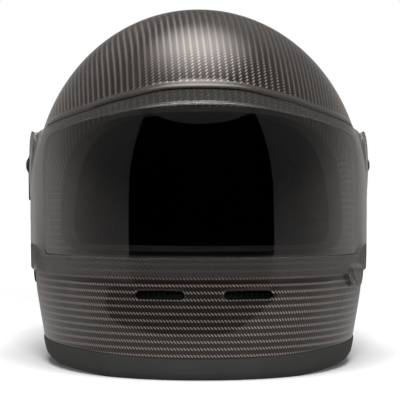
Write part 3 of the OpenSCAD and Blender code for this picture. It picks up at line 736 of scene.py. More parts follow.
def drawn_in(piece, distance, depth, width):
    """Pulls the skin in along seams: distance() gives how far each point is from one."""
    places, normals = np.empty((2, len(piece.data.vertices) * 3))
    piece.data.vertices.foreach_get("co", places)
    piece.data.vertices.foreach_get("normal", normals)
    places, normals = places.reshape(-1, 3), normals.reshape(-1, 3)
    pull = depth * np.exp(-(distance(places) / width) ** 2)
    piece.data.vertices.foreach_set("co", (places - normals * pull[:, None]).ravel())
    shade_smooth(piece, 180)


def panel_seams(places):
    """The distance to the two seams from front to back, and to the one round the crown."""
    x, y, z = places.T
    return np.minimum(np.abs(np.abs(x) - 30 * mm), np.abs(z - 165 * mm - 0.1 * y))


liner = layer("crown_comfort_liner", liner_out + 1 * mm, liner_out + liner_thickness - 1 * mm,
              40 * mm, 128, 56)
trimmed(liner, grown(crown_region, -8 * mm))
plumped(liner, 4 * mm, 2 * mm)
drawn_in(liner, panel_seams, 1.6 * mm, 1.8 * mm)

# Brushed polyester knit: courses 1.2 mm apart that show as fine rows, and a soft nap
knit = new_material("brushed_black_knit")
place = add("TexCoord")
rows = add("TexWave", {"Vector": place["Object"], "Scale": 130.0, "Distortion": 1.5, "Detail": 2.0,
    "Detail Scale": 3.0}, wave_type="BANDS", bands_direction="Z")
nap = add("TexNoise", {"Vector": place["Object"], "Scale": 900.0, "Detail": 4.0})
worn = add("TexNoise", {"Vector": place["Object"], "Scale": 25.0, "Detail": 2.0})
relief = add("Math", [rows[1], nap], operation="ADD")
tone = add("Mix", {0: worn, 6: colour("#08080a"), 7: colour("#111113")}, data_type="RGBA")
bump = add("Bump", {"Strength": 0.4, "Distance": 0.25 * mm, "Height": relief})
surface = add("BsdfPrincipled",
    {"Base Color": tone[2], "Roughness": 0.95, "Specular IOR Level": 0.2, "Normal": bump,
    "Sheen Weight": 0.05, "Sheen Roughness": 0.5, "Sheen Tint": colour("#50505a")})
add("OutputMaterial", [surface])
fitted(liner, knit, "crown_liner")


# Cheek pads
# Thick soft foam in a sewn knit cover, held off the shell by press studs. The left pad is
# cut and sewn first, and the right one is its mirror image.
cheek_out = 10.8 * mm
cheek_thickness = 36 * mm
cheek_side = [
    (cheek_front, cheek_low + 10 * mm), (cheek_front + 18 * mm, cheek_low),
    (cheek_rear - 22 * mm, cheek_low), (cheek_rear - 6 * mm, cheek_low + 10 * mm),
    (cheek_rear, (cheek_low + cheek_high) / 2),
    (cheek_rear - 6 * mm, cheek_high - 10 * mm), (cheek_rear - 18 * mm, cheek_high),
    (cheek_front + 14 * mm, cheek_high), (cheek_front + 2 * mm, cheek_high - 10 * mm),
]
pad = layer("cheek_cushion_left", cheek_out + 2 * mm, cheek_out + cheek_thickness - 4 * mm, 20 * mm)
trimmed(pad, grown(cheek_side, -4 * mm), 5 * mm)
plumped(pad, 3.6 * mm, 5 * mm)


def from_line(points, line):
    """How far each point is from a closed line of points."""
    return np.min(np.linalg.norm(points[:, None] - np.array(line)[None], axis=2), axis=1)


seam_line = grown(cheek_side, -12 * mm)
seam_line = np.array([a + (b - a) * t for a, b in zip(seam_line, np.roll(seam_line, -1, axis=0))
                      for t in np.arange(0, 1, 0.05)])


def pad_seams(places):
    deep = places[:, 0] < half_width(places[:, 2], 0) * 0.74
    return np.where(deep, from_line(places[:, 1:], seam_line), 1)


def copied(piece, name):
    made = bpy.data.objects.new(name, piece.data.copy())
    bpy.context.scene.collection.objects.link(made)
    return made


drawn_in(pad, pad_seams, 2.2 * mm, 1.8 * mm)
right_pad = copied(pad, "cheek_cushion_right")
mirror(right_pad)
for piece, node in ((pad, "cheek_pad_left"), (right_pad, "cheek_pad_right")):
    fitted(piece, knit, node)


# Neck roll
# A soft roll in grained synthetic leather that closes the gap under the nape.
roll_out = 9.5 * mm
roll_thickness = 15 * mm
roll_front = cheek_rear + 12 * mm
roll_low, roll_high = edge_front + 2 * mm, nape_foot - 6 * mm
roll = layer("neck_cushion", roll_out + 1.5 * mm, roll_out + roll_thickness - 2.5 * mm, 10 * mm)
trimmed(roll, [(roll_front, roll_low), (0.3, roll_low), (0.3, roll_high), (roll_front, roll_high)])
plumped(roll, 3.6 * mm, 3 * mm)
drawn_in(roll, lambda places: np.abs(places[:, 2] - 34 * mm), 1 * mm, 1.3 * mm)

# Grained synthetic leather: pebbles of about 1 mm with a satin face
leather = new_material("grained_black_synthetic_leather")
place = add("TexCoord")
pebbles = add("TexVoronoi", {"Vector": place["Object"], "Scale": 900.0, "Smoothness": 0.4},
    feature="SMOOTH_F1")
cloud = add("TexNoise", {"Vector": place["Object"], "Scale": 40.0, "Detail": 3.0})
tone = add("Mix", {0: cloud, 6: colour("#131314"), 7: colour("#1f1f20")}, data_type="RGBA")
rough = add("MapRange", [pebbles, 0.0, 0.8, 0.42, 0.6])
bump = add("Bump", {"Strength": 0.35, "Distance": -0.15 * mm, "Height": pebbles})
surface = add("BsdfPrincipled", {"Base Color": tone[2], "Roughness": rough, "Normal": bump})
add("OutputMaterial", [surface])
fitted(roll, leather, "neck_roll")


# Press studs
# Moulded plastic studs that hold each cheek pad off the shell.
black_plastic = grained("moulded_black_nylon", ("#121212", "#1b1b1b"), (0.36, 0.5), 0.2, 0.06,
                        grain=1500.0, cloud=60.0)


def refinish(node, material):
    """Gives a CAD node that is shown as it is a finish of its own."""
    for slot in frame["nodes"][node].material_slots:
        slot.material = material


refinish("pad_studs", black_plastic)


# Vent mesh
# Woven steel wire of 0.4 mm at 1.4 mm spacing, pressed to the chin bar's curve and
# sprayed black. One lies behind each slot.
wire = 0.4 * mm
wire_pitch = 1.4 * mm
mesh_border = 2.6 * mm
mesh_inset = 3.7 * mm
mesh_half_l = slot_length / 2 + mesh_border
mesh_half_h = slot_height / 2 + mesh_border
columns, rows = round(2 * mesh_half_l / wire_pitch), round(2 * mesh_half_h / wire_pitch)

# Sprayed steel: satin black that lets the wire's edges shine
black_metal = grained("satin_black_sprayed_steel", ("#0d0d0d", "#171717"), (0.26, 0.4), 0.15, 0.05,
                      grain=700.0, cloud=80.0, detail=2.0)

for side, word in ((1, "left"), (-1, "right")):
    bpy.ops.object.select_all(action="DESELECT")
    bpy.ops.mesh.primitive_grid_add(x_subdivisions=columns, y_subdivisions=rows, size=1)
    net = bpy.context.object
    net.name = "vent_wire_" + word
    flat = np.array([v.co for v in net.data.vertices])
    net_x = slot_near + slot_length / 2 + flat[:, 0] * 2 * mesh_half_l
    net_z = slot_z + flat[:, 1] * 2 * mesh_half_h
    deep = (1 - (net_x / half_width(net_z, mesh_inset)) ** plan_power) ** (1 / plan_power)
    net_y = pivot.y - reach(net_z, mesh_inset, True) * deep
    net.data.vertices.foreach_set("co", np.stack([net_x * side, net_y, net_z], axis=1).ravel())
    finish_with(net, "WIREFRAME", thickness=wire, use_even_offset=True)
    edit_all(net, outwards)
    fitted(net, black_metal, "vent_mesh_" + word)


# Pivot bases and their screws
# Nylon plates, screwed into pockets of the shell. Each has a hub that the visor's ear turns
# on and a peg that stops it. The steel screws have a cross recess.
refinish("pivot_base_left", black_plastic)
refinish("pivot_base_right", black_plastic)
peg_at = 14 * mm
screw_angles = (35, 145)
screw_seat_x = 121.9 * mm


def turned(name, profile, steps):
    """A solid of revolution about Z from (radius, height) points, starting and ending on it."""
    piece = tube(name, [
        [(r * mm * math.cos(a), r * mm * math.sin(a), h * mm) for r, h in profile]
        for a in np.linspace(0, 2 * math.pi, steps, endpoint=False)], closed=True)
    edit_all(piece, ("remove_doubles", {"threshold": 0.01 * mm}), ("dissolve_degenerate", {}),
             outwards)
    return piece


def slotted(piece, size, height, turn):
    """Cuts a straight recess, its middle at a height on the piece's axis."""
    bpy.ops.mesh.primitive_cube_add(size=1, location=(0, 0, height * mm),
                                    rotation=(0, 0, math.radians(turn)))
    arm = bpy.context.object
    arm.scale = [s * mm for s in size]
    bpy.ops.object.transform_apply(location=True, rotation=True, scale=True)
    boolean(piece, arm, "DIFFERENCE")


def at_pivot(piece, side, x, turn=0.0, out=0.0):
    """Moves a piece built round Z to a pivot: its Z points outwards and its X points down."""
    spin = Matrix.Rotation(math.radians(turn), 4, "Z") @ Matrix.Translation((0, out, x))
    stand = Matrix(((0, 0, side, 0), (0, 1, 0, pivot.y), (-1, 0, 0, pivot.z), (0, 0, 0, 1)))
    piece.data.transform(stand @ spin)
    if side < 0:
        piece.data.flip_normals()


def joined(pieces, name):
    bpy.ops.object.select_all(action="DESELECT")
    for piece in pieces:
        piece.select_set(True)
    bpy.context.view_layer.objects.active = pieces[0]
    bpy.ops.object.join()
    pieces[0].name = name
    return pieces[0]


# Bright steel, turned and tumbled, with a fine grain in its gloss
steel = grained("turned_stainless_steel", ("#a3a2a0", "#c6c5c2"), (0.2, 0.36), 0.12, 0.04,
                grain=1400.0, cloud=120.0, **{"Metallic": 1.0})

screw_head = turned("screw", [
    (0, -4.9), (1.45, -4.9), (1.45, 0), (3, 0), (3, 0.75), (2.75, 1.05), (1.6, 1.1), (0, 1.1)], 40)
for turn in (20, 110):
    slotted(screw_head, (3, 0.6, 1.2), 0.9, turn)
shade_smooth(screw_head, 35)
screws = []
for side in (1, -1):
    for turn in screw_angles:
        screws.append(copied(screw_head, "screw"))
        at_pivot(screws[-1], side, screw_seat_x, turn, peg_at)
bpy.data.objects.remove(screw_head)
fitted(joined(screws, "base_plate_screws"), steel, "base_screws")


# Visor
# Clear sheet, moulded in one: a rim that follows the shell, a raised front panel with
# bevelled edges, a lift tab on the wearer's left, and flat ears that turn on the hubs.
visor_thickness = 1.9 * mm
visor_out = 3 * mm
panel_out = 2.6 * mm
tab_out = 2 * mm
visor_low = 69.7 * mm
ear_radius = 26 * mm
ear_face = 126.5 * mm
hub_radius = 5.58 * mm
stop_half = 1.75 * mm
stop_turn = 50.6
side_angles = np.linspace(-math.pi / 2, math.radians(40), 600)
side_line = mould(side_angles, np.full(600, belt_z), -visor_out)
side_run = runs_along(side_line)


def unrolled(points):
    """Side view points (y, z) on the sheet laid flat: run from the middle, and z."""
    points = np.array(points)
    angle = angle_at(points[:, 0], points[:, 1], -visor_out)
    return np.stack([np.interp(angle, side_angles, side_run), points[:, 1]], axis=1)


def edge_line(line, last_y, count=120):
    """The flat line of a side view edge (y, z), from the middle back to last_y."""
    y, z = np.array(line).T
    last = float(angle_at(np.array(last_y), np.interp(last_y, y, z), -visor_out))
    angle = np.linspace(-math.pi / 2, last, count)
    level = np.full(count, z[0])
    for _ in range(12):
        level = np.interp(mould(angle, level, -visor_out)[..., 1], y, z)
    return np.stack([np.interp(angle, side_angles, side_run), level], axis=1)


def circle(radius, start, end, count):
    turns = np.radians(np.linspace(start, end, count))
    return np.stack([pivot.y + radius * np.cos(turns), pivot.z + radius * np.sin(turns)], axis=1)


def evened(points, step):
    """The same line, cut into even steps."""
    points = np.array(points)
    runs = runs_along(points)
    at = np.linspace(0, runs[-1], max(2, round(runs[-1] / step) + 1))
    return np.stack([np.interp(at, runs, points[:, 0]), np.interp(at, runs, points[:, 1])], axis=1)


def softened(line, width):
    """A line whose corners are rounded by averaging its neighbours, with both ends kept."""
    kernel = np.hanning(width + 2)[1:-1]
    kernel /= kernel.sum()
    half = width // 2
    padded = np.concatenate([2 * line[0] - line[half:0:-1], line,
        2 * line[-1] - line[-2:-half - 2:-1]])
    return np.stack([np.convolve(padded[:, k], kernel, "valid") for k in (0, 1)], axis=1)


def both_sides(half):
    """A closed outline from its left half, which starts and ends on the middle."""
    return np.concatenate([half, (half * (-1, 1))[-2:0:-1]])


def placed(points, z0):
    return [(pivot.y + y * mm, z0 + z * mm) for y, z in points]


low_edge = smooth_line(placed([
    (-76, 0), (-62, 0.1), (-40, 0.9), (-14.5, 2.8), (5.5, 10.3), (17.5, 25.3), (24.5, 48)],
    visor_low))
ear = evened(circle(ear_radius, -16, 113, 60), 2 * mm)
top_edge = edge_line(rim_top, pivot.y - 18 * mm)
half = np.concatenate([unrolled(low_edge), unrolled(ear), top_edge[::-1]])
half = np.concatenate([evened([(0, visor_low), half[0]], 2 * mm)[:-1],
    softened(evened(half, 1.5 * mm), 9)])
half[0, 0] = half[-1, 0] = 0

tab = smooth_line(placed([
    (-103.6, 0), (-101.4, -2), (-95.5, -7.4), (-89, -10.6), (-83, -11.5), (-78, -9.6), (-75.4, -5),
    (-74, 0)], visor_low), 1 * mm)
tab_flat = unrolled(tab)
keep_front = half[(half[:, 0] < tab_flat[0, 0] - 0.5 * mm) & (np.arange(len(half)) < len(half) / 2)]
keep_rear = half[(half[:, 0] > tab_flat[-1, 0] + 0.5 * mm) | (np.arange(len(half)) > len(half) / 2)]
outline = np.concatenate([keep_front, tab_flat, keep_rear, (half * (-1, 1))[-2:0:-1]])
tab_shape = np.concatenate([tab_flat, tab_flat[::-1][1:-1] * (1, 0) + (0, visor_low + 4 * mm)])

panel_top = placed([
    (-155, -5), (-141.5, -8.4), (-136.3, -11.2), (-126.7, -15.5), (-102, -21.8), (-77, -30.1)],
    visor_high)
panel_rear = placed([
    (-75.9, 95.2), (-76.2, 92.4), (-80, 80), (-84.5, 65.3), (-89.8, 50.3), (-92.5, 35.3),
    (-93.8, 20), (-94.4, 15), (-96, 12.6), (-100, 12)], visor_low)
panel = np.concatenate([edge_line(panel_top, pivot.y - 78 * mm), unrolled(smooth_line(panel_rear))])
panel = np.concatenate([softened(evened(panel, 1.5 * mm), 7),
    evened([panel[-1], (0, panel[-1, 1])], 1.5 * mm)[1:]])
panel[0, 0] = panel[-1, 0] = 0
panel = both_sides(panel)


def within(points, loop):
    """Whether each point lies inside a closed loop."""
    a, b = loop, np.roll(loop, -1, axis=0)
    px, py = points[:, 0, None], points[:, 1, None]
    crossing = (a[:, 1] > py) != (b[:, 1] > py)
    rise = np.where(b[:, 1] == a[:, 1], 1, b[:, 1] - a[:, 1])
    at = a[:, 0] + (py - a[:, 1]) * (b[:, 0] - a[:, 0]) / rise
    return np.sum(crossing & (px < at), axis=1) % 2 == 1


def depth_in(points, loop):
    """How far each point lies inside a closed loop, negative outside it."""
    a, b = loop, np.roll(loop, -1, axis=0)
    along = b - a
    t = np.clip(np.sum((points[:, None] - a) * along, axis=2) / np.sum(along ** 2, axis=1), 0, 1)
    nearest = np.linalg.norm(points[:, None] - (a + t[..., None] * along), axis=2).min(axis=1)
    return np.where(within(points, loop), nearest, -nearest)


hub = circle(hub_radius, 0, 354, 60)
stop_end = math.radians(stop_turn - 90)
stop_y, stop_z = pivot.y + peg_at * math.cos(stop_end), pivot.z + peg_at * math.sin(stop_end)


def stop_cap(y, z, first):
    """The rounded end of the stop slot, from an angle of first degrees."""
    return [(y + stop_half * math.cos(a), z + stop_half * math.sin(a))
            for a in (math.radians(first + k) for k in range(15, 180, 15))]


stop = np.concatenate([
    circle(peg_at + stop_half, -90, -90 + stop_turn, 24),
    stop_cap(stop_y, stop_z, stop_turn - 90),
    circle(peg_at - stop_half, -90 + stop_turn, -90, 24),
    stop_cap(pivot.y, pivot.z - peg_at, -270)[::-1],
])
holes = [unrolled(hub), unrolled(stop)]
holes += [hole * (-1, 1) for hole in holes]
bevel_w = 1.3 * mm
loops = [outline, grown(outline, -0.7 * mm)] + holes
loops += [grown(panel, out * mm) for out in (1.9, 1.5, 1.15, 0.65, 0.15, -0.2, -0.6)]
loops += [grown(tab_shape, out * mm) for out in (-0.4, -1.8)]
flat_points = [p for loop in loops for p in loop]
flat_edges = []
for loop in loops:
    start = len(flat_edges)
    flat_edges += [(start + i, start + (i + 1) % len(loop)) for i in range(len(loop))]
step = 2.5 * mm
grid_rows = 66
grid_columns = math.ceil(outline[:, 0].max() / step)
grid = np.array([((i + 0.5 * (k % 2)) * step, visor_low - 12 * mm + k * step * 0.866)
                 for i in range(-grid_columns, grid_columns) for k in range(grid_rows)])
grid = grid[within(grid, outline)]
clear = np.min([np.abs(depth_in(grid, loop)) for loop in loops], axis=0)
grid = grid[clear > 1.1 * mm]
flat_points = np.concatenate([np.array(flat_points), grid])
verts, _, faces, _, _, _ = delaunay_2d_cdt([Vector(p) for p in flat_points], flat_edges, [], 0,
    1e-7)
verts = np.array([tuple(v) for v in verts])
centres = np.array([verts[list(f)].mean(axis=0) for f in faces])
keep = within(centres, outline)
for hole in holes:
    keep &= ~within(centres, hole)
faces = [f for f, k in zip(faces, keep) if k]

depth = depth_in(verts, panel)
soft = 0.3 * mm
bevel = sum(ramp(depth + shift, -bevel_w, 0) for shift in (-soft, -soft / 2, 0, soft / 2, soft)) / 5
tab_depth = depth_in(verts, tab_shape)
lift = panel_out * bevel + tab_out * ease(tab_depth, 0, 1.9 * mm)
angle = np.interp(np.abs(verts[:, 0]), side_run, side_angles)
sheet = mould(angle, verts[:, 1], -(visor_out + lift))
from_pivot = np.hypot(sheet[:, 1] - pivot.y, sheet[:, 2] - pivot.z)
flat_share = 1 - ease(from_pivot, 24 * mm, 34 * mm)
sheet[:, 0] = sheet[:, 0] * (1 - flat_share) + ear_face * flat_share
sheet[:, 0] *= np.where(verts[:, 0] < 0, -1, 1)
visor = solid("visor_sheet", sheet, faces)
frosted = visor.data.attributes.new("frosted", "FLOAT", "POINT")
frosted.data.foreach_set("value", (1 - ramp(depth, -0.6 * mm, 0.2 * mm))
                         * ease(pivot.y - sheet[:, 1], 50 * mm, 100 * mm))
edit_all(visor, ("delete_loose", {}), outwards)
if sum(f.normal.y for f in visor.data.polygons) > 0:
    edit_all(visor, ("flip_normals", {}))
finish_with(visor, "SOLIDIFY", thickness=visor_thickness, offset=-1, use_even_offset=True)
shade_smooth(visor, 38)

# Clear polycarbonate with a light smoke tint. Light passes straight through it to what's behind.
clear_sheet = new_material("polished_light_smoke_polycarbonate")
frost = add("Attribute", attribute_name="frosted")
rough = add("MapRange", [frost["Fac"], 0.0, 1.0, 0.0, 0.22])
glass = add("BsdfPrincipled", {"Base Color": colour("#c4c4c4"), "Roughness": rough, "IOR": 1.585,
    "Transmission Weight": 1.0})
passing = add("BsdfTransparent", {"Color": colour("#c8c8c8")})
haze = add("BsdfPrincipled", {"Base Color": colour("#8c8a88"), "Roughness": 0.6})
milky = add("Math", [frost["Fac"], 0.05], operation="MULTIPLY")
satin = add("MixShader", [milky, glass, haze])
light_path = add("LightPath")
mixed = add("MixShader", [light_path["Is Shadow Ray"], satin, passing])
add("OutputMaterial", [mixed])
fitted(visor, clear_sheet, "visor", "visor")


# Washers and cover plates
# A thin steel washer lets the ear turn under a pressed steel cover, whose tail hides the
# stop slot. The cover is sprayed black.
refinish("pivot_washer_left", steel)
refinish("pivot_washer_right", steel)
cover_x = 127.0 * mm
cover_thickness = 1.3 * mm
cover_length = 23.5 * mm
cover_top = 7.5 * mm
cover_tail = 3 * mm
lean = math.asin((cover_top - cover_tail) / cover_length)
cover_outline = [(cover_top * math.cos(a), cover_top * math.sin(a))
                 for a in np.linspace(math.pi / 2 - lean, 3 * math.pi / 2 + lean, 40)]
cover_outline += [(cover_length + cover_tail * math.cos(a), cover_tail * math.sin(a))
                  for a in np.linspace(lean - math.pi / 2, math.pi / 2 - lean, 16)]
cover = solid("cover", [(x, y, 0) for x, y in cover_outline], [tuple(range(len(cover_outline)))])
finish_with(cover, "SOLIDIFY", thickness=cover_thickness, offset=1)
edit_all(cover, outwards)
heights = [v.co.z for v in cover.data.vertices]
cover.data.transform(Matrix.Translation((0, 0, -min(heights))))
rounded(cover, 0.45, 3, 50)
bpy.ops.mesh.primitive_cylinder_add(vertices=32, radius=2.05 * mm, depth=6 * mm, location=(0, 0, 0))
boolean(cover, bpy.context.object, "DIFFERENCE")
shade_smooth(cover, 40)


# Pivot screws
# Domed black screws that clamp the covers on the hubs. A knurled edge and a coin slot let
# the wearer undo them to change the visor.
head_x = 128.35 * mm
head_radius = 6
head_height = 2.4
ball = (head_radius ** 2 + head_height ** 2) / (2 * head_height)
pivot_screw = turned("pivot_screw", [
    (0, -6.5), (1.95, -6.5), (1.95, 0), (5.7, 0), (5.95, 0.2), (5.95, 0.45), (5.6, 0.62)
] + [(r, head_height - ball + math.sqrt(ball ** 2 - r ** 2)) for r in np.linspace(5.3, 0, 14)], 144)
for v in pivot_screw.data.vertices:
    if math.hypot(v.co.x, v.co.y) > 5.55 * mm:
        groove = 1 - 0.035 * (round(math.degrees(math.atan2(v.co.y, v.co.x)) / 2.5) % 2)
        v.co.x *= groove
        v.co.y *= groove
slotted(pivot_screw, (14, 1.3, 2), head_height, 25)
rounded(pivot_screw, 0.12, 2, 60)
shade_smooth(pivot_screw, 35)
for side, word in ((1, "left"), (-1, "right")):
    for piece, name, x in ((cover, "cover_", cover_x), (pivot_screw, "screw_", head_x)):
        made = copied(piece, "visor_" + name + word)
        at_pivot(made, side, x)
        fitted(made, black_metal, "pivot_" + name + word)
for piece in (cover, pivot_screw):
    bpy.data.objects.remove(piece)


# Chin strap
# Black polyester webbing, 25 mm wide, riveted to the shell's sides. The left half is sewn
# round the bars of two rings. The right half is drawn through them and its tail snaps down.
strap_y = pivot.y - 8 * mm
strap_width = 25 * mm
strap_thickness = 1.8 * mm
strap_low = 5 * mm
ring_x = 40 * mm
ring_z = 14 * mm
ring_gap = 2.6 * mm
anchor_z = 64 * mm


def wall_x(z, inset=0.0):
    """How far the shell's wall stands from the middle at a level, as a plain number."""
    return float(half_width(np.array(z), inset))


wall = [(wall_x(z) - 5 * mm, z)
        for z in (anchor_z + 11 * mm, anchor_z, anchor_z - 16 * mm, 36 * mm)]
lip_x = wall_x(20.5 * mm, 9 * mm) - strap_thickness


def drop(x0, z0):
    """The strap's way from the shell's wall over the trim's lip to the jaw."""
    return [(u * u * (lip_x - 1 * mm) + 2 * u * t * (lip_x - 12 * mm) + t * t * x0,
             u * u * 24 * mm + 2 * u * t * (z0 + 1 * mm) + t * t * z0)
            for t in np.linspace(0, 1, 11) for u in (1 - t,)]


def lifted(path, i, height):
    """A point above a path's point i, square to the path."""
    a, b = path[max(0, i - 1)], path[min(len(path) - 1, i + 1)]
    d = np.array([b[0] - a[0], b[1] - a[1]])
    d /= np.linalg.norm(d)
    return (path[i][0] - d[1] * height, path[i][1] + d[0] * height)


def band(name, path, width, thickness, closed=False, edge=0.6 * mm):
    """Webbing of an even thickness along a path of (x, z) points, with its run kept as a UV map."""
    path = np.array(path)
    if closed:
        ahead_of, behind = np.roll(path, -1, axis=0), np.roll(path, 1, axis=0)
    else:
        ahead_of = np.concatenate([path[1:], path[-1:]])
        behind = np.concatenate([path[:1], path[:-1]])
    along = unit(ahead_of - behind)
    across_path = np.stack([-along[:, 1], along[:, 0]], axis=1)
    w, t = width / 2, thickness / 2
    section = [(-w + edge, -t), (-w / 3, -t), (w / 3, -t), (w - edge, -t), (w, -t + edge),
        (w, t - edge)]
    section += [(-s, -h) for s, h in section]
    piece = tube(name, [[(p[0] + n[0] * h, strap_y + s, p[1] + n[1] * h) for s, h in section]
                        for p, n in zip(path, across_path)], closed)
    mesh, count = piece.data, len(section)
    runs = runs_along(path)
    layer_uv = mesh.uv_layers.new(name="webbing")
    for face in mesh.polygons:
        rings_here = [mesh.loops[i].vertex_index // count for i in face.loop_indices]
        wraps = max(rings_here) - min(rings_here) > 1 and face.loop_total == 4
        for i, ring in zip(face.loop_indices, rings_here):
            closing = wraps and ring == 0
            on = runs[-1] + np.linalg.norm(path[0] - path[-1]) if closing else runs[ring]
            layer_uv.data[i].uv = (on, section[mesh.loops[i].vertex_index % count][0])
    shade_smooth(piece, 50)
    return piece


# Webbing: ribs 1.1 mm apart run across in a chevron, between flat selvedges; their tone
# follows their relief, as painted shade in the valleys and painted light on the crowns
webbing = new_material("woven_black_polyester_webbing")
uv = add("UVMap", uv_map="webbing")
split = add("SeparateXYZ", [uv])
off_middle = add("Math", [split[1]], operation="ABSOLUTE")
folded = add("Math", [off_middle, 3 * mm], operation="PINGPONG")
slant = add("Math", [split, folded], operation="ADD")
turns = add("Math", [slant, 2 * math.pi / (1.1 * mm)], operation="MULTIPLY")
rib = add("Math", [turns], operation="SINE")
inner_part = add("Math", [off_middle, 11.2 * mm], operation="LESS_THAN")
relief = add("Math", [rib, inner_part], operation="MULTIPLY")
# Painted shade and light: the ribs' tone follows their height
shade = add("MapRange", [relief, -1.0, 1.0, 0.0, 1.0])
tone = add("Mix", {0: shade, 6: colour("#0c0c0d"), 7: colour("#1e1e20")}, data_type="RGBA")
bump = add("Bump", {"Strength": 0.6, "Distance": 0.25 * mm, "Height": relief})
surface = add("BsdfPrincipled", {"Base Color": tone[2], "Roughness": 0.7, "Normal": bump,
    "Sheen Weight": 0.08})
add("OutputMaterial", [surface])

loop_radius = 3.05 * mm
left_run = drop(ring_x + 3 * mm, ring_z)
strap_left = band("strap_buckle_side", smooth_line(wall, 3 * mm)[:-1]
                  + smooth_line([wall[-1]] + left_run, 3 * mm)[1:], strap_width, strap_thickness)
loop_line = [(ring_x + loop_radius * math.cos(a),
              ring_z + half * ring_gap + loop_radius * math.sin(a))
             for half in (1, -1) for a in np.linspace(0, math.pi, 16) + (half < 0) * math.pi]
ring_loop = band("ring_loop", loop_line, strap_width, strap_thickness, closed=True)
strap_left = joined([strap_left, ring_loop], "strap_buckle_side")

right_run = [(-x, z) for x, z in drop(12 * mm, strap_low)]
tail_lift = strap_thickness + 0.5 * mm
turn_path = [(x * mm, z * mm) for x, z in (
    (-2, 5), (22, 5), (27, 5.3), (30.4, 7.4), (32, 11), (32, 19), (30.8, 21), (28, 22), (23, 22),
    (17, 19.5), (7, 10.8), (-3, 8.1))]
tail = [lifted(right_run, i, tail_lift) for i in (10, 9, 8, 7, 6)]
right_wall = [(-x, z) for x, z in wall]
long_way = smooth_line(right_wall, 3 * mm)[:-1]
long_way += smooth_line([right_wall[-1]] + right_run, 3 * mm)[1:]
long_way += smooth_line([right_run[-1]] + turn_path, 2 * mm)[1:]
long_way += smooth_line([turn_path[-1]] + tail, 2 * mm)[1:]
strap_right = band("strap_long_side", long_way, strap_width, strap_thickness)
for piece, node in ((strap_left, "strap_left"), (strap_right, "strap_right")):
    fitted(piece, webbing, node)


# Strap sleeves
# Padded tubes of synthetic leather that keep the webbing off the neck. Each is folded
# round the strap and sewn along its two edges.
sleeve_half = 3.3 * mm
sewn_at = 13.4 * mm
for side, run, word in ((1, left_run, "left"), (-1, right_run, "right")):
    path = np.array(smooth_line([run[i] for i in range(1, 7)], 1.5 * mm))
    first, last = np.array(run[2]), np.array(run[5])
    path = path[(path[:, 1] <= first[1] + 1e-6) & (path[:, 1] >= last[1] - 1e-6)]
    along = unit(np.gradient(path, axis=0))
    sections = []
    for i, (p, d) in enumerate(zip(path, along)):
        full = 1 - 0.35 * max(0, 1 - min(i, len(path) - 1 - i) / 2.0)
        ring = []
        for a in np.linspace(0, 2 * math.pi, 40, endpoint=False):
            across_band = math.cos(a) * (strap_width / 2 + 4 * mm)
            thick = math.copysign(abs(math.sin(a)) ** 0.6, math.sin(a)) * sleeve_half * full
            thick *= 1 - 0.45 * math.exp(-((abs(across_band) - sewn_at) / (1.1 * mm)) ** 2)
            ring.append((p[0] - d[1] * thick, strap_y + across_band, p[1] + d[0] * thick))
        sections.append(ring)
    sleeve = tube("strap_pad_" + word, sections)
    bore = band("bore", run[:9], strap_width + 1 * mm, strap_thickness + 0.8 * mm)
    boolean(sleeve, bore, "DIFFERENCE")
    rounded(sleeve, 0.5, 2, 60)
    shade_smooth(sleeve, 60)
    fitted(sleeve, leather, "strap_sleeve_" + word)


# Anchor plates, rivets and the snap
# A steel plate clamps each end of the strap, and a rivet goes through the shell and both.
# The snap's halves are pressed steel, sprayed black.
refinish("anchor_plate_left", steel)
refinish("anchor_plate_right", steel)
refinish("snap_stud", black_metal)
refinish("snap_socket", black_metal)
wall_slope = math.atan2(wall_x(anchor_z + 10 * mm) - wall_x(anchor_z - 20 * mm), 30 * mm)
rivet = turned("rivet", [
    (0, -9.7), (3.6, -9.7), (4, -9.4), (4, -8.9), (2.35, -8.8), (2.35, 0.3), (5.0, 0.35),
    (5.2, 0.5), (5.0, 0.75), (4.2, 1.05), (3.0, 1.2), (1.5, 1.25), (0, 1.25)], 56)
rivets = []
for side in (1, -1):
    rivets.append(copied(rivet, "rivet"))
    stand = Matrix.Translation((side * wall_x(anchor_z), strap_y, anchor_z))
    rivets[-1].data.transform(stand @ Matrix.Rotation(side * (math.pi / 2 + wall_slope), 4, "Y"))
bpy.data.objects.remove(rivet)
rivets = joined(rivets, "anchor_rivets")
shade_smooth(rivets, 40)
fitted(rivets, black_metal, "strap_rivets")


# Buckle rings
# Two D shaped rings, bent from 3.6 mm steel wire, butt welded in the bar and polished.
wire_r = 1.8 * mm
bar_half = 15.5 * mm
ring_deep = 15 * mm
bend = 7 * mm
inner_bend = 1.9 * mm


def quarter(x, y, radius, start, end, count):
    return [(x + radius * math.cos(a), y + radius * math.sin(a))
            for a in np.linspace(start, end, count)]


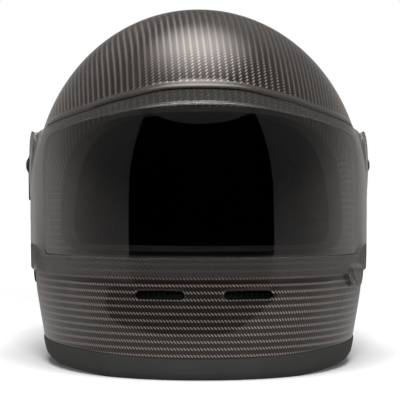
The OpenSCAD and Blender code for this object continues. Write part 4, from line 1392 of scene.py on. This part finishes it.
right_angle = math.pi / 2
d_half = quarter(-inner_bend, bar_half - inner_bend, inner_bend, 0.25, right_angle, 5)
d_half += [(-x, bar_half) for x in np.linspace(3 * mm, ring_deep - bend - 1 * mm, 4)]
d_half += quarter(-(ring_deep - bend), bar_half - bend, bend, right_angle, 2 * right_angle, 10)
d_line = [(0, y) for y in np.linspace(-bar_half + inner_bend, bar_half - inner_bend, 9)] + d_half
d_line += [(-ring_deep, y) for y in np.linspace(bar_half - bend - 2 * mm,
    -bar_half + bend + 2 * mm, 6)]
d_line = np.array(d_line + [(x, -y) for x, y in d_half[::-1]])
along = unit(np.roll(d_line, -1, axis=0) - np.roll(d_line, 1, axis=0))
for gap, word in ((ring_gap, "upper"), (-ring_gap, "lower")):
    ring = tube("d_ring_" + word, [
        [(ring_x + p[0] + d[1] * wire_r * math.cos(a), strap_y + p[1] - d[0] * wire_r * math.cos(a),
          ring_z + gap + wire_r * math.sin(a))
         for a in np.linspace(0, 2 * math.pi, 20, endpoint=False)]
        for p, d in zip(d_line, along)], closed=True)
    shade_smooth(ring, 60)
    fitted(ring, steel, "ring_" + word, "buckle_ring_" + word)


# Background and light
# A white room, with black cloth hung round the camera's side and laid before the helmet,
# which the visor and the chin bar mirror. The floor is white and takes a soft shadow.
world = bpy.data.worlds.new("white_room")
bpy.context.scene.world = world
world.use_nodes = True
tree = world.node_tree
tree.nodes.clear()
light_path = add("LightPath")
seen = add("Math", [light_path["Is Camera Ray"], light_path["Is Glossy Ray"]], operation="MAXIMUM")
seen = add("Math", [seen, light_path["Is Transmission Ray"]], operation="MAXIMUM")
strength = add("MapRange", [seen, 0.0, 1.0, 0.28, 1.0])
background = add("Background", {"Color": (1, 1, 1, 1), "Strength": strength})
add("OutputWorld", [background])

# White floor: seen plainly it is lit up to white, and polished things mirror it as pale grey.
# Its glow is lower round the helmet, a painted shade on top of the real shadow
floor_material = new_material("white_floor")
light_path = add("LightPath")
mirrored = add("Math", [light_path["Glossy Depth"], 1.0], operation="MINIMUM")
seen = add("Math", [light_path["Is Camera Ray"], light_path["Is Transmission Ray"]],
    operation="MAXIMUM")
plainly = add("Math", [seen, mirrored], operation="SUBTRACT", use_clamp=True)
place = add("TexCoord")
place = add("Mapping", {0: place["Object"], 1: (0, -0.08, 0), 3: (1, 0.55, 1)}, vector_type="POINT")
off = add("VectorMath", [place], operation="LENGTH")
# Painted shade: the glow is lowest round the helmet and full only well away from it
glow_with_painted_shade_near = add("MapRange", [off["Value"], 0.13, 0.21, 0.0, 0.35], interpolation_type="SMOOTHSTEP")
far_glow = add("MapRange", [off["Value"], 0.3, 1.2, 0.0, 0.65], interpolation_type="SMOOTHSTEP")
glow = add("Math", [glow_with_painted_shade_near, far_glow], operation="ADD")
glow = add("Math", [plainly, glow], operation="MULTIPLY")
tone = add("Mix", {0: mirrored, 6: colour("#f4f4f4"), 7: colour("#9a9896")}, data_type="RGBA")
surface = add("BsdfDiffuse", {"Color": tone[2]})
lit = add("Emission", {"Color": (1, 1, 1, 1), "Strength": glow})
total = add("AddShader", [surface, lit])
add("OutputMaterial", [total])
floor_radius = 9
bpy.ops.mesh.primitive_circle_add(vertices=96, radius=floor_radius, fill_type="NGON")
floor = bpy.context.object
floor.name = "floor"
floor.data.materials.append(floor_material)


def mirrored_only(name, light=None):
    """A studio cloth that shows in polished surfaces alone; light gives its brightness."""
    material = new_material(name)
    light_path = add("LightPath")
    mirrored = add("Math", [light_path["Glossy Depth"], 1.0], operation="MINIMUM")
    strength = light() if light else 0.0
    cloth_light = add("Emission", {"Color": colour("#fffaf6"), "Strength": strength})
    clear = add("BsdfTransparent")
    mixed = add("MixShader", [mirrored, clear, cloth_light])
    add("OutputMaterial", [mixed])
    return material


def hung_up(piece, material):
    piece.data.materials.append(material)
    piece.visible_camera = piece.visible_diffuse = piece.visible_shadow = False


# Black cloth, hung on the camera's side and laid before the helmet
hung_radius = 2.6
hung_level = 0.12
hung_rows, hung_columns = 16, 25
black = mirrored_only("black_cloth")
hung = [(math.sin(a) * math.cos(e) * hung_radius, -math.cos(a) * math.cos(e) * hung_radius,
         hung_level + math.sin(e) * hung_radius)
        for e in np.radians(np.linspace(-3, 54, hung_rows))
        for a in np.radians(np.linspace(-54, 53, hung_columns))]
hung_faces = [(r * hung_columns + c, r * hung_columns + c + 1, (r + 1) * hung_columns + c + 1,
               (r + 1) * hung_columns + c)
              for r in range(hung_rows - 1) for c in range(hung_columns - 1)]
laid = [(-0.015, -0.218), (0.05, -0.222), (0.26, -0.33), (0.9, -0.72), (2.3, -1.35), (2.3, -2.6),
        (-2.3, -2.6), (-2.3, -0.75), (-0.9, -0.33), (-0.3, -0.165), (-0.16, -0.165),
        (-0.08, -0.205)]
laid = [(x, y, 0.6 * mm) for x, y in laid]
hung_up(solid("hung_cloth", hung, hung_faces), black)
hung_up(solid("laid_cloth", laid, [tuple(range(len(laid)))]), black)


def wall_light():
    """Grey cloth all round, darker behind, and a softbox above and a little behind the helmet, all
    painted as a glow that only polished surfaces mirror.
    """
    place = add("TexCoord")
    way = add("VectorMath", [place["Object"]], operation="NORMALIZE")
    split = add("SeparateXYZ", [way])
    beside = add("MapRange", [split[1], -0.4, 0.8, 0.27, 0.52], interpolation_type="SMOOTHSTEP")
    behind = add("MapRange", [split[1], 0.5, 1.0, 1.0, 0.6], interpolation_type="SMOOTHSTEP")
    raised = add("MapRange", [split[2], 0.05, 0.5, 1.0, 0.45], interpolation_type="SMOOTHSTEP")
    cloth_grey = add("Math", [beside, behind], operation="MULTIPLY")
    cloth_grey = add("Math", [cloth_grey, raised], operation="MULTIPLY")
    off_box = add("Mapping", {0: way, 1: (0, -0.2 / 0.48, 0), 3: (1 / 0.42, 1 / 0.46, 0)},
        vector_type="POINT")
    away = add("VectorMath", [off_box], operation="LENGTH")
    above = add("Math", [split[2], 0.0], operation="GREATER_THAN")
    # Painted reflection: a softbox glow on the cloth that only polished surfaces mirror
    painted_softbox_glow = add("MapRange", [away["Value"], 0.0, 1.0, 4.6, 0.0], interpolation_type="SMOOTHSTEP")
    painted_softbox_glow = add("Math", [painted_softbox_glow, above], operation="MULTIPLY")
    return add("Math", [cloth_grey, painted_softbox_glow], operation="ADD")[0]


room_radius = 3.4
bpy.ops.mesh.primitive_uv_sphere_add(segments=64, ring_count=32, radius=room_radius)
walls = bpy.context.object
walls.name = "grey_walls"
hung_up(walls, mirrored_only("grey_cloth", wall_light))


def lamp(name, size, place, aim, watts):
    """A softbox of watts that lights the helmet, and that polished pieces don't mirror."""
    data = bpy.data.lights.new(name, "AREA")
    data.shape = "RECTANGLE"
    data.size, data.size_y = size
    data.energy = watts
    made = bpy.data.objects.new(name, data)
    made.location = place
    made.rotation_euler = (Vector(aim) - Vector(place)).to_track_quat("-Z", "Y").to_euler()
    made.visible_glossy = False
    made.visible_transmission = False
    bpy.context.scene.collection.objects.link(made)


lamp("overhead", (0.9, 0.6), (0, -0.3, 1.5), (0, 0, 0.1), 12)
lamp("front", (0.35, 0.3), (0, -1.75, 0.85), (0, 0, 0.1), 36)

bpy.context.scene.view_settings.view_transform = "Standard"
bpy.context.view_layer.update()
